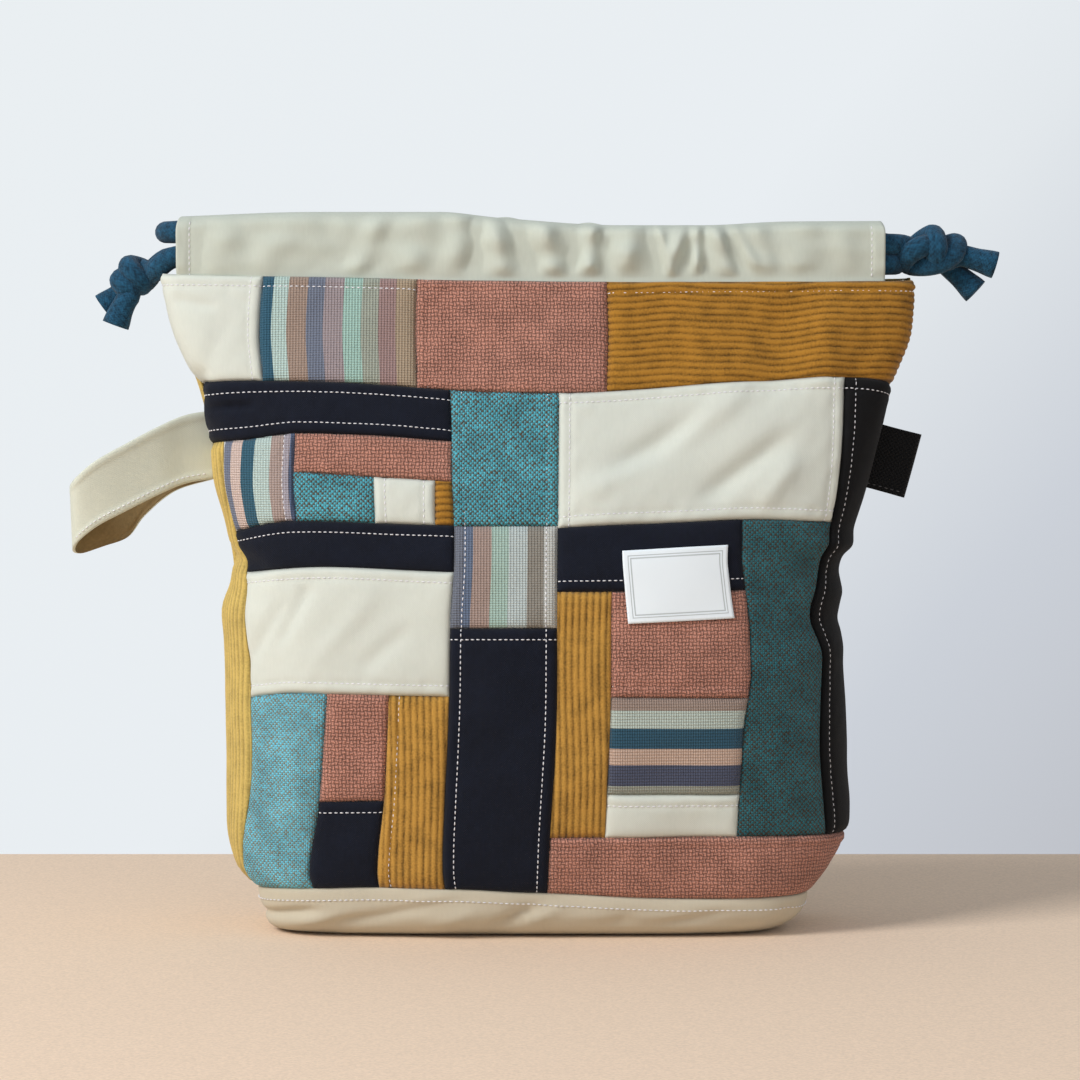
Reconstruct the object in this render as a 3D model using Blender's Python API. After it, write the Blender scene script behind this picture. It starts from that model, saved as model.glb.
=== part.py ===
"""A patchwork drawstring bag for a knitting project, in metres, +Z up, front towards -Y.

The front is sewn from flat patches, each an object of its own. The back and the lining are
whole cloths, and the base wraps round under them. Two casings stand on the mouth, each a
folded strip, and hold two cords. A wrist strap and a tab are held in the side seams.
Every cloth follows one body surface, described by its sections from the base to the mouth.
"""

import math

import bmesh
import bpy
import numpy as np

# Cloths, cords and clearances
CLOTH = 0.0011
LINING_CLOTH = 0.0008
CASING_CLOTH = 0.0009
STRAP_CLOTH = 0.0011
LABEL_CLOTH = 0.0006
GAP = 0.0003
SEAM_GAP = 0.0003
LINING_EASE = 0.0012
CORD_RADIUS = 0.0041
CORD_EASE = 0.0005
PUFF = 0.0006

# The body
BODY_HEIGHT = 0.2455
CASING_SLIT = 0.0062
BASE_HALF_WIDTH_LEFT = 0.0970
BASE_HALF_WIDTH_RIGHT = 0.0950
BASE_HALF_DEPTH = 0.0390
BELLY_HALF_DEPTH = 0.0490
BASE_ROLL = 0.0025
BASE_TURN = 0.0075
LINING_ROLL = 0.0065
LINING_FLOOR_SHRINK = 0.035
LINING_SETBACK = 0.0010
FLANGE_DEPTH = 0.0095

# The casing's folded strip stands on the mouth and leaves the slit between the two.
CHANNEL_HALF = CORD_RADIUS + CORD_EASE
CASING_MIDDLE = CASING_SLIT / 2 + CASING_CLOTH + CHANNEL_HALF
CASING_OUTER = CASING_MIDDLE + CHANNEL_HALF + CASING_CLOTH
MOUTH_HALF_DEPTH = CASING_OUTER + GAP + CLOTH
FLANGE_THICKNESS = 2 * CASING_CLOTH + GAP
CASING_LEFT = -0.1350
CASING_RIGHT = 0.1310
CASING_SETBACK = 0.0040
FLANGE_SETBACK = 0.0170
CASING_GATHER = 0.0009
GATHERS = 8.5
CASING_COLUMNS = 17
CASING_FOOT = 0.0008
LOW_CORD_HEIGHT = BODY_HEIGHT + 0.0078
CORD_PITCH = 2 * CORD_RADIUS + 0.0018
HIGH_CORD_HEIGHT = LOW_CORD_HEIGHT + CORD_PITCH
CORD_SLACK = 0.0020
TURN_DEPTH = 0.0015
LEFT_KNOT_RADII = (0.0091, 0.0085, 0.0080)
RIGHT_KNOT_RADII = (0.0112, 0.0085, 0.0086)

# Sections of the body: height, left half-width, right half-width, half-depth, squareness
SECTIONS = (
    (0.0000, BASE_HALF_WIDTH_LEFT, BASE_HALF_WIDTH_RIGHT, BASE_HALF_DEPTH, 5.0),
    (BASE_ROLL, 0.1012, 0.0990, BASE_HALF_DEPTH + 0.0030, 5.0),
    (0.0160, 0.1048, 0.1030, BASE_HALF_DEPTH + 0.0045, 4.6),
    (0.0260, 0.1125, 0.1105, BASE_HALF_DEPTH + 0.0065, 3.8),
    (0.0410, 0.1162, 0.1178, BELLY_HALF_DEPTH - 0.0020, 3.2),
    (0.0680, 0.1167, 0.1172, BELLY_HALF_DEPTH, 2.9),
    (0.0980, 0.1173, 0.1152, BELLY_HALF_DEPTH, 2.8),
    (0.1200, 0.1182, 0.1138, BELLY_HALF_DEPTH - 0.0015, 2.8),
    (0.1380, 0.1145, 0.1143, BELLY_HALF_DEPTH - 0.0040, 3.0),
    (0.1510, 0.1162, 0.1192, BELLY_HALF_DEPTH - 0.0070, 3.2),
    (0.1700, 0.1215, 0.1250, 0.0375, 3.6),
    (0.1880, 0.1235, 0.1295, 0.0325, 4.2),
    (0.2060, 0.1280, 0.1338, 0.0272, 5.0),
    (0.2260, 0.1362, 0.1408, 0.0210, 6.5),
    (BODY_HEIGHT + 0.0020, 0.1414, 0.1426, MOUTH_HALF_DEPTH - 0.0003, 8.0),
)

# Heights at which the back and the lining are shaped, those of the sections they pass
LEVELS = (
    0.0160, 0.0270, 0.0410, 0.0800, 0.1200, 0.1380,
    0.1510, 0.1700, 0.1880, 0.2060, 0.2260, 0.2350,
)

# Seams across the front: share of the cloth from the middle to the side seam, height
TOP_EDGE = ((-1, 0.2460), (-0.6, 0.2450), (0.2, 0.2438), (1, 0.2445))
ROW_SEAM = (
    (-1, 0.2040), (-0.735, 0.2072), (-0.53, 0.2064), (0.055, 0.2024),
    (0.40, 0.2057), (0.77, 0.2083), (1, 0.2035),
)
UPPER_BAND_SEAM = ((-1, 0.1822), (-0.78, 0.1848), (-0.615, 0.1875), (-0.218, 0.1850))
PINK_SEAM = ((-0.63, 0.1731), (-0.213, 0.1699))
LOWER_BAND_TOP = ((-1, 0.1475), (-0.843, 0.1506), (-0.64, 0.1550), (-0.22, 0.1538))
LOWER_BAND_SEAM = ((-0.822, 0.1354), (-0.55, 0.1382), (-0.22, 0.1366))
CREAM_SEAM = ((-0.78, 0.0889), (-0.62, 0.0914), (-0.225, 0.0907))
LOWER_PINK_SEAM = ((-0.567, 0.0511), (-0.396, 0.0516))
CENTRE_TEAL_SEAM = ((-0.22, 0.1536), (0.057, 0.1535))
CENTRE_STRIPE_SEAM = ((-0.222, 0.1159), (0.056, 0.1160))
RIGHT_CREAM_SEAM = ((0.057, 0.1527), (0.425, 0.1552), (0.54, 0.1559), (0.79, 0.1542))
RIGHT_BAND_SEAM = ((0.056, 0.1294), (0.56, 0.1297))
RIGHT_PINK_SEAM = ((0.196, 0.0904), (0.565, 0.0898))
RIGHT_STRIPE_SEAM = ((0.183, 0.0544), (0.528, 0.0539))
RIGHT_FOOT_SEAM = ((0.036, 0.0383), (0.52, 0.0382), (0.77, 0.0376), (1, 0.0360))
BASE_SEAM = ((-1, 0.0165), (-0.43, 0.0188), (-0.245, 0.0188), (0.031, 0.0170), (0.50, 0.0145), (1, 0.0155))

# Seams up the front: height, share of the cloth from the middle to the side seam
MIDDLE_LEFT = (
    (0.0188, -0.247), (0.0907, -0.225), (0.1158, -0.222), (0.1535, -0.217), (0.2038, -0.221),
)
MIDDLE_RIGHT = ((0.0170, 0.031), (0.0375, 0.036), (0.0908, 0.055), (0.1535, 0.057), (0.2038, 0.057))
LEFT_STRIP = (
    (0.0165, -0.845), (0.0323, -0.804), (0.0624, -0.768), (0.1225, -0.786),
    (0.1372, -0.822), (0.1468, -0.854), (0.1832, -0.841),
)
STRIPE_EDGE = ((0.1528, -0.640), (0.1849, -0.628))
SMALL_CREAM_EDGE = ((0.1545, -0.427), (0.1732, -0.421))
SMALL_OCHRE_EDGE = ((0.1538, -0.268), (0.1699, -0.262))
TOP_CREAM_EDGE = ((0.2064, -0.705), (0.2460, -0.674))
TOP_STRIPE_EDGE = ((0.2042, -0.306), (0.2445, -0.294))
TOP_PINK_EDGE = ((0.2042, 0.176), (0.2437, 0.173))
LOWER_TEAL_EDGE = ((0.0184, -0.612), (0.0511, -0.566), (0.0902, -0.545))
LOWER_OCHRE_EDGE = ((0.0188, -0.428), (0.0516, -0.396), (0.0906, -0.383))
RIGHT_OCHRE_EDGE = ((0.0383, 0.178), (0.0544, 0.183), (0.0896, 0.196), (0.1293, 0.203))
TEAL_EDGE = (
    (0.0382, 0.519), (0.0772, 0.543), (0.1000, 0.574), (0.1153, 0.578), (0.1555, 0.538),
)
RIGHT_STRIP = (
    (0.0376, 0.774), (0.0673, 0.766), (0.1033, 0.797), (0.1210, 0.766),
    (0.1385, 0.796), (0.1542, 0.791), (0.2083, 0.765),
)

BACK_BASE_SEAM = (BASE_SEAM[0], BASE_SEAM[-1])
LEFT_SEAM = ((0.0, -1.0), (0.3, -1.0))
RIGHT_SEAM = ((0.0, 1.0), (0.3, 1.0))

# Patch: left seam, right seam, lower seam, upper seam, cloth
PATCHES = {
    "top_cream_patch": (LEFT_SEAM, TOP_CREAM_EDGE, ROW_SEAM, TOP_EDGE, "cream_canvas"),
    "top_striped_patch": (TOP_CREAM_EDGE, TOP_STRIPE_EDGE, ROW_SEAM, TOP_EDGE, "striped_cotton"),
    "top_pink_patch": (TOP_STRIPE_EDGE, TOP_PINK_EDGE, ROW_SEAM, TOP_EDGE, "pink_hopsack"),
    "top_corduroy_patch": (TOP_PINK_EDGE, RIGHT_SEAM, ROW_SEAM, TOP_EDGE, "ochre_corduroy"),
    "upper_dark_band": (LEFT_SEAM, MIDDLE_LEFT, UPPER_BAND_SEAM, ROW_SEAM, "dark_cotton"),
    "left_side_strip": (LEFT_SEAM, LEFT_STRIP, BASE_SEAM, UPPER_BAND_SEAM, "ochre_corduroy"),
    "left_striped_patch": (LEFT_STRIP, STRIPE_EDGE, LOWER_BAND_TOP, UPPER_BAND_SEAM, "striped_cotton"),
    "left_pink_patch": (STRIPE_EDGE, MIDDLE_LEFT, PINK_SEAM, UPPER_BAND_SEAM, "pink_hopsack"),
    "left_teal_patch": (STRIPE_EDGE, SMALL_CREAM_EDGE, LOWER_BAND_TOP, PINK_SEAM, "teal_weave"),
    "small_cream_patch": (SMALL_CREAM_EDGE, SMALL_OCHRE_EDGE, LOWER_BAND_TOP, PINK_SEAM, "cream_canvas"),
    "small_corduroy_patch": (SMALL_OCHRE_EDGE, MIDDLE_LEFT, LOWER_BAND_TOP, PINK_SEAM, "ochre_corduroy"),
    "lower_dark_band": (LEFT_STRIP, MIDDLE_LEFT, LOWER_BAND_SEAM, LOWER_BAND_TOP, "dark_cotton"),
    "left_cream_patch": (LEFT_STRIP, MIDDLE_LEFT, CREAM_SEAM, LOWER_BAND_SEAM, "cream_canvas"),
    "lower_teal_patch": (LEFT_STRIP, LOWER_TEAL_EDGE, BASE_SEAM, CREAM_SEAM, "teal_weave"),
    "lower_pink_patch": (LOWER_TEAL_EDGE, LOWER_OCHRE_EDGE, LOWER_PINK_SEAM, CREAM_SEAM, "pink_hopsack"),
    "lower_dark_patch": (LOWER_TEAL_EDGE, LOWER_OCHRE_EDGE, BASE_SEAM, LOWER_PINK_SEAM, "dark_cotton"),
    "lower_corduroy_patch": (LOWER_OCHRE_EDGE, MIDDLE_LEFT, BASE_SEAM, CREAM_SEAM, "ochre_corduroy"),
    "middle_teal_patch": (MIDDLE_LEFT, MIDDLE_RIGHT, CENTRE_TEAL_SEAM, ROW_SEAM, "teal_weave"),
    "middle_striped_patch": (
        MIDDLE_LEFT, MIDDLE_RIGHT, CENTRE_STRIPE_SEAM, CENTRE_TEAL_SEAM, "striped_cotton",
    ),
    "middle_dark_patch": (MIDDLE_LEFT, MIDDLE_RIGHT, BASE_SEAM, CENTRE_STRIPE_SEAM, "dark_cotton"),
    "right_cream_patch": (MIDDLE_RIGHT, RIGHT_STRIP, RIGHT_CREAM_SEAM, ROW_SEAM, "cream_canvas"),
    "right_dark_band": (MIDDLE_RIGHT, TEAL_EDGE, RIGHT_BAND_SEAM, RIGHT_CREAM_SEAM, "dark_cotton"),
    "right_corduroy_patch": (
        MIDDLE_RIGHT, RIGHT_OCHRE_EDGE, RIGHT_FOOT_SEAM, RIGHT_BAND_SEAM, "ochre_corduroy",
    ),
    "right_pink_patch": (RIGHT_OCHRE_EDGE, TEAL_EDGE, RIGHT_PINK_SEAM, RIGHT_BAND_SEAM, "pink_hopsack"),
    "right_striped_patch": (
        RIGHT_OCHRE_EDGE, TEAL_EDGE, RIGHT_STRIPE_SEAM, RIGHT_PINK_SEAM, "striped_cotton",
    ),
    "right_small_cream_patch": (
        RIGHT_OCHRE_EDGE, TEAL_EDGE, RIGHT_FOOT_SEAM, RIGHT_STRIPE_SEAM, "cream_canvas",
    ),
    "right_teal_patch": (TEAL_EDGE, RIGHT_STRIP, RIGHT_FOOT_SEAM, RIGHT_CREAM_SEAM, "teal_weave"),
    "right_side_strip": (RIGHT_STRIP, RIGHT_SEAM, RIGHT_FOOT_SEAM, ROW_SEAM, "dark_cotton"),
    "right_pink_foot": (MIDDLE_RIGHT, RIGHT_SEAM, BASE_SEAM, RIGHT_FOOT_SEAM, "pink_hopsack"),
}

# Strap and tab, each held in a side seam between two heights
STRAP_WIDTH = 0.0258
STRAP_HEIGHT = 0.1825
STRAP_ROUTE = (
    (-0.0094, -0.0038, -0.0020),
    (-0.0240, -0.0100, -0.0085),
    (-0.0390, -0.0112, -0.0165),
    (-0.0500, -0.0075, -0.0240),
    (-0.0545, 0.0000, -0.0290),
    (-0.0500, 0.0080, -0.0315),
    (-0.0380, 0.0115, -0.0270),
    (-0.0240, 0.0100, -0.0160),
    (-0.0094, 0.0038, -0.0045),
)
TAB_WIDTH = 0.0240
TAB_LENGTH = 0.0150
TAB_HEIGHT = 0.1785
TAB_DROP = 0.0040
HOLD_DEPTH = 0.0007
HELD_REACH = 0.0120

# Label: share across and height of its corners, lower left, lower right, upper left, upper right
LABEL_CORNERS = ((0.245, 0.1176), (0.532, 0.1194), (0.228, 0.1440), (0.507, 0.1464))

# Free ends of the cords, from each knot's middle
LEFT_KNOT = (-0.1525, 0.0, 0.2450)
RIGHT_KNOT = (0.1526, 0.0, 0.2565)
LEFT_TAILS = (
    ((-0.004, -0.003, -0.002), (-0.010, -0.004, -0.005), (-0.0165, -0.004, -0.0085)),
    ((0.000, -0.001, -0.006), (-0.002, -0.001, -0.013), (-0.0045, 0.001, -0.0195)),
)
RIGHT_TAILS = (
    ((0.008, -0.003, -0.001), (0.016, -0.004, -0.003), (0.0250, -0.004, -0.0040)),
    ((0.006, -0.001, -0.005), (0.011, -0.001, -0.011), (0.0160, 0.001, -0.0165)),
)

CELL = 0.0125
CORNER_CELL = 0.0075
ROW_CELL = 0.0105
CORNER_SHARE = 0.62
TUBE_SIDES = 10
TUB_SIDES = 32
FLOOR_INSET = 0.012
SHARE_STEPS = 96
HEIGHT_STEPS = 150

COLOURS = {
    "cream_canvas": (0.70, 0.66, 0.55, 0.90),
    "ochre_corduroy": (0.43, 0.20, 0.035, 0.95),
    "teal_weave": (0.06, 0.22, 0.25, 0.90),
    "pink_hopsack": (0.48, 0.20, 0.15, 0.92),
    "dark_cotton": (0.012, 0.016, 0.027, 0.85),
    "striped_cotton": (0.30, 0.33, 0.33, 0.88),
    "sage_twill": (0.53, 0.55, 0.43, 0.88),
    "lining_cotton": (0.60, 0.58, 0.50, 0.90),
    "cord_cotton": (0.012, 0.09, 0.12, 0.85),
    "black_webbing": (0.008, 0.008, 0.010, 0.80),
    "label_white": (0.85, 0.87, 0.88, 0.60),
}


def smooth(x, points):
    """A curve through the points that never overshoots them, read at x."""
    xs, ys = np.array(points, float).T
    chords = np.diff(ys) / np.diff(xs)
    before, after = chords[:-1], chords[1:]
    same = before * after > 0
    total = np.where(same, before + after, 1.0)
    inner = np.where(same, 2 * before * after / total, 0.0)
    slopes = np.concatenate([chords[:1], inner, chords[-1:]])
    x = np.clip(x, xs[0], xs[-1])
    i = np.clip(np.searchsorted(xs, x) - 1, 0, len(xs) - 2)
    wide = xs[i + 1] - xs[i]
    t = (x - xs[i]) / wide
    rise = ys[i] * (1 + 2 * t) * (1 - t) ** 2 + ys[i + 1] * t * t * (3 - 2 * t)
    return rise + wide * (slopes[i] * t * (1 - t) ** 2 - slopes[i + 1] * t * t * (1 - t))


def section(height):
    """Left half-width, right half-width, half-depth and squareness at a height."""
    return [smooth(height, [(row[0], row[k]) for row in SECTIONS]) for k in (1, 2, 3, 4)]


def half_section(half_width, half_depth, squareness):
    """The front cloth from the middle to a side seam, in even steps along it, and its length."""
    turn = np.linspace(0, math.pi / 2, 400)
    x = half_width * np.sin(turn) ** (2 / squareness)
    y = half_depth * np.cos(turn) ** (2 / squareness)
    x[0], y[-1] = 0.0, 0.0
    along = np.concatenate([[0], np.cumsum(np.hypot(np.diff(x), np.diff(y)))])
    even = np.linspace(0, along[-1], SHARE_STEPS + 1)
    return np.interp(even, along, x), np.interp(even, along, y), along[-1]


class Body:
    """The body's surface, held as its sections at many heights."""

    def __init__(self):
        self.top = SECTIONS[-1][0]
        self.x = np.zeros((HEIGHT_STEPS + 1, 2 * SHARE_STEPS + 1))
        self.y = np.zeros_like(self.x)
        self.length = np.zeros((HEIGHT_STEPS + 1, 2))
        for row in range(HEIGHT_STEPS + 1):
            left, right, depth, square = section(self.top * row / HEIGHT_STEPS)
            lx, ly, self.length[row, 0] = half_section(left, depth, square)
            rx, ry, self.length[row, 1] = half_section(right, depth, square)
            self.x[row] = np.concatenate([-lx[:0:-1], rx])
            self.y[row] = np.concatenate([ly[:0:-1], ry])

    def point(self, share, height, back=False):
        """The point at a share of the cloth from the middle, -1 to 1, and a height."""
        row = min(max(height / self.top, 0), 1) * HEIGHT_STEPS
        column = (min(max(share, -1), 1) + 1) * SHARE_STEPS
        i = min(int(row), HEIGHT_STEPS - 1)
        j = min(int(column), 2 * SHARE_STEPS - 1)
        u, v = row - i, column - j
        weights = np.array([[(1 - u) * (1 - v), (1 - u) * v], [u * (1 - v), u * v]])
        x = float((self.x[i:i + 2, j:j + 2] * weights).sum())
        y = float((self.y[i:i + 2, j:j + 2] * weights).sum())
        return np.array([x, y if back else -y, height])

    def normal(self, share, height, back=False):
        """The outward direction there."""
        across, up = 0.012, 0.0012
        share = min(max(share, -1 + across), 1 - across) if abs(share) < 1 else share
        low, high = max(height - up, 0), min(height + up, self.top)
        run = self.point(share + across, height, back) - self.point(share - across, height, back)
        rise = self.point(share, high, back) - self.point(share, low, back)
        out = np.cross(rise, run) if back else np.cross(run, rise)
        return out / np.linalg.norm(out)

    def off(self, share, height, distance, back=False):
        """The point that far outside the surface."""
        return self.point(share, height, back) + distance * self.normal(share, height, back)

    def half_length(self, share, height):
        """Length of the cloth from the middle to the side seam on that share's side."""
        heights = np.linspace(0, self.top, HEIGHT_STEPS + 1)
        return float(np.interp(height, heights, self.length[:, int(share > 0)]))

    def share_of(self, x, height):
        """The share at which the front has that x."""
        row = int(round(height / self.top * HEIGHT_STEPS))
        shares = np.linspace(-1, 1, 2 * SHARE_STEPS + 1)
        return float(np.interp(x, self.x[row], shares))


BODY = Body()


def material(slot):
    """The cloth's colour and roughness."""
    if slot in bpy.data.materials:
        return bpy.data.materials[slot]
    made = bpy.data.materials.new(slot)
    made.use_nodes = True
    shader = made.node_tree.nodes["Principled BSDF"]
    red, green, blue, rough = COLOURS[slot]
    shader.inputs["Base Color"].default_value = (red, green, blue, 1)
    shader.inputs["Roughness"].default_value = rough
    shader.inputs["Metallic"].default_value = 0
    return made


def add_object(name, bm, slot):
    """A named object from a bmesh, with its material."""
    mesh = bpy.data.meshes.new(name)
    bm.to_mesh(mesh)
    bm.free()
    obj = bpy.data.objects.new(name, mesh)
    bpy.context.scene.collection.objects.link(obj)
    mesh.materials.append(material(slot))
    mesh.shade_smooth()
    return obj


def thicken(obj, thickness, offset=-1):
    """Gives a sheet its thickness, inwards by default."""
    wall = obj.modifiers.new("Cloth", "SOLIDIFY")
    wall.thickness = thickness
    wall.offset = offset
    wall.use_even_offset = False


def sheet(name, columns, rows, place, slot, thickness, offset=-1):
    """A sheet of cloth whose grid is laid out by place(a, b), both from 0 to 1."""
    bm = bmesh.new()
    bmesh.ops.create_grid(bm, x_segments=columns, y_segments=rows, size=0.5)
    for vert in bm.verts:
        vert.co = place(vert.co.x + 0.5, vert.co.y + 0.5)
    obj = add_object(name, bm, slot)
    thicken(obj, thickness, offset)
    return obj


def held_gap(share, height):
    """Half the side seam's gap, which opens where the strap or the tab is sewn in."""
    middle, width = (STRAP_HEIGHT, STRAP_WIDTH) if share < 0 else (TAB_HEIGHT, TAB_WIDTH)
    beyond = max(abs(height - middle) - width / 2 - CELL, 0) / CELL
    return SEAM_GAP + (STRAP_CLOTH + 1.5 * GAP) * max(1 - beyond, 0)


def edge_inset(share, height):
    """The share by which a cloth stops short of a seam, so that neighbours keep their gap."""
    gap = held_gap(share, height) if abs(share) == 1 else SEAM_GAP
    return gap / BODY.half_length(share, height)


def spot(a, b, left, right, lower, upper):
    """Share and height at the fractions a and b between a patch's four seams."""
    share, height = 0.0, 0.1
    for _ in range(14):
        low = smooth(share, lower) + SEAM_GAP
        high = smooth(share, upper) - (SEAM_GAP if upper is not TOP_EDGE else 0)
        height = low + b * (high - low)
        start = float(smooth(height, left))
        end = float(smooth(height, right))
        start += edge_inset(start, height)
        end -= edge_inset(end, height)
        share = start + a * (end - start)
    return share, height


def crown(t):
    """How far a patch stands up between its seams, 0 at them and 1 in the middle."""
    return 1 - (2 * t - 1) ** 4


def build_patch(name, left, right, lower, upper, slot):
    """One patch of the front."""
    edges = ((0, 0.5), (1, 0.5), (0.5, 0), (0.5, 1))
    corners = [spot(a, b, left, right, lower, upper) for a, b in edges]
    sides = [BODY.point(*corner) for corner in corners]
    at_corner = max(abs(share) for share, height in corners) > CORNER_SHARE
    cell = CORNER_CELL if at_corner else CELL
    columns = max(2, round(float(np.linalg.norm(sides[1] - sides[0])) / cell))
    rows = max(2, round(float(np.linalg.norm(sides[3] - sides[2])) / ROW_CELL))

    def place(a, b):
        share, height = spot(a, b, left, right, lower, upper)
        return BODY.off(share, height, PUFF * crown(a) * crown(b))

    sheet(name, columns, rows, place, slot, CLOTH)


def build_back():
    """The back, one cloth from side seam to side seam and from the base to the mouth."""
    levels = [None] + [height for height in LEVELS if height > 0.02] + [BODY_HEIGHT]

    def place(a, b):
        share = even_share(1 - 2 * a)
        level = levels[round(b * (len(levels) - 1))]
        height = level if level else float(smooth(share, BACK_BASE_SEAM)) + SEAM_GAP
        share *= 1 - edge_inset(math.copysign(1.0, share), height)
        return BODY.off(share, height, 0, back=True)

    sheet("back_panel", TUB_SIDES // 2 + 4, len(levels) - 1, place, "ochre_corduroy", CLOTH)


def next_loop(bm, loop):
    """Extrudes a closed loop of vertices and gives the new loop, in the same order."""
    edges = [bm.edges.get((one, other)) for one, other in zip(loop, loop[1:] + loop[:1])]
    made = set(bmesh.ops.extrude_edge_only(bm, edges=edges)["geom"])
    grown = []
    for vert in loop:
        across = (edge.other_vert(vert) for edge in vert.link_edges)
        grown.append(next(other for other in across if other in made))
    return grown


def even_share(t):
    """A share for t from -1 to 1, in steps that close up towards the corners of the section."""
    return 0.45 * t + 0.55 * math.sin(t * math.pi / 2)


def place_round(loop, height_of, distance, inset=0.0):
    """Places a loop of vertices round the body, the first at the left side seam."""
    for k, vert in enumerate(loop):
        turn = k / len(loop) * 4
        share, back = (even_share(turn - 1), False) if turn <= 2 else (even_share(3 - turn), True)
        vert.co = BODY.off(share, height_of(share, back), distance, back)
        vert.co.x *= 1 - inset
        vert.co.y *= 1 - inset


def tub(name, loops, slot, thickness):
    """A tub of cloth lofted from its floor up through loops round the body."""
    bm = bmesh.new()
    made = bmesh.ops.create_circle(bm, segments=TUB_SIDES, radius=BASE_HALF_DEPTH, cap_ends=True)
    loop = made["verts"]
    floor = list(bm.faces)
    place_round(loop, *loops[0])
    for level in loops[1:]:
        loop = next_loop(bm, loop)
        place_round(loop, *level)
    bmesh.ops.inset_region(bm, faces=floor, thickness=FLOOR_INSET)
    bmesh.ops.recalc_face_normals(bm, faces=bm.faces)
    obj = add_object(name, bm, slot)
    thicken(obj, thickness)


def build_base():
    """The base, which wraps under the bag and up to the lowest seam."""
    def level(height):
        return lambda share, back: height

    def rim(share, back):
        return float(smooth(share, BACK_BASE_SEAM if back else BASE_SEAM)) - SEAM_GAP

    heights = [level(0.0), level(BASE_ROLL), level(BASE_TURN), rim]
    tub("base_panel", [(height, 0) for height in heights], "cream_canvas", CLOTH)


def lining_offset(height):
    """How far the lining lies inside the body's surface. It makes room for the casings' flange."""
    plain = CLOTH + LINING_EASE
    at_flange = CLOTH + FLANGE_THICKNESS + 2 * GAP
    flange_foot = BODY_HEIGHT - FLANGE_DEPTH
    rise = min(max((height - flange_foot + 0.010) / 0.009, 0), 1)
    return -(plain + (at_flange - plain) * rise)


def build_lining():
    """The lining, a tub that hangs inside the outer cloths and backs them all over."""
    floor_height = CLOTH + LINING_EASE
    heights = [LINING_ROLL] + list(LEVELS) + [BODY_HEIGHT - LINING_SETBACK]
    loops = [(lambda share, back: floor_height, lining_offset(0), LINING_FLOOR_SHRINK)]
    loops += [(lambda share, back, h=h: h, lining_offset(h)) for h in heights]
    tub("lining", loops, "lining_cotton", LINING_CLOTH)


def strip_path():
    """The casing's folded strip in section: distance from the slit's middle, height above the mouth."""
    top = HIGH_CORD_HEIGHT - BODY_HEIGHT
    low = LOW_CORD_HEIGHT - BODY_HEIGHT
    half = CHANNEL_HALF + CASING_CLOTH / 2
    outer, inner = CASING_MIDDLE + half, CASING_MIDDLE - half
    turn = np.linspace(0, math.pi, 5)
    over = [(CASING_MIDDLE + half * math.cos(t), top + half * math.sin(t)) for t in turn]
    under = [(CASING_MIDDLE - half * math.cos(t), low - half * math.sin(t)) for t in (0, 0.55, 1.1)]
    neck = outer - CASING_CLOTH - GAP
    front = [(outer, -CASING_FOOT), (outer, low)]
    return front + over + [(inner, (low + top) / 2)] + under + [(neck, -CASING_FOOT)]


def casing_point(path, a, b, back):
    """A point of a casing's strip, a along it and b round its section."""
    count = len(path) + 1
    k = round(b * count)
    if 0 < k < count:
        out, rise = path[k - 1]
    else:
        out, rise = (path[0] if k == 0 else path[-1])
    near_slit = (CASING_OUTER - out) / (CASING_OUTER - CASING_SLIT / 2)
    left = CASING_LEFT + CASING_SETBACK * near_slit
    right = CASING_RIGHT - CASING_SETBACK * near_slit
    x = left + a * (right - left)
    height = BODY_HEIGHT + rise
    if k in (0, 1, count - 1, count):
        x = CASING_LEFT + FLANGE_SETBACK + a * (CASING_RIGHT - CASING_LEFT - 2 * FLANGE_SETBACK)
        height = BODY_HEIGHT - (FLANGE_DEPTH if k in (0, count) else CASING_FOOT)
        share = BODY.share_of(x, height)
        layer = CASING_CLOTH / 2 if k <= 1 else 1.5 * CASING_CLOTH + GAP
        point = BODY.off(share, height, -(CLOTH + GAP + layer), back)
        return (x, float(point[1]), height)
    pleats = math.sin(a * GATHERS * math.pi) ** 2 * math.sin(math.pi * a)
    gather = CASING_GATHER * pleats * (1 - near_slit)
    if k == 2 or out > CASING_MIDDLE + 0.6 * CHANNEL_HALF:
        out += gather
    return (x, out if back else -out, height)


def build_casing(name, back):
    """One casing: a strip folded over the cords, its two edges held in the mouth's seam."""
    path = strip_path()

    def place(a, b):
        return casing_point(path, 1 - a if back else a, b, back)

    sheet(name, CASING_COLUMNS, len(path) + 1, place, "sage_twill", CASING_CLOTH, 0)


def spline_points(points, step):
    """Points read from a smooth curve through a route, about one step apart."""
    route = [np.array(p, float) for p in points]
    ends = [2 * route[0] - route[1]] + route + [2 * route[-1] - route[-2]]
    found = []
    for p0, p1, p2, p3 in zip(ends, ends[1:], ends[2:], ends[3:]):
        pieces = max(1, round(float(np.linalg.norm(p2 - p1)) / step))
        for k in range(pieces):
            t = k / pieces
            found.append(0.5 * (2 * p1 + (p2 - p0) * t + (2 * p0 - 5 * p1 + 4 * p2 - p3) * t * t
                                + (3 * p1 - p0 - 3 * p2 + p3) * t ** 3))
    found.append(route[-1])
    return found


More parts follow.
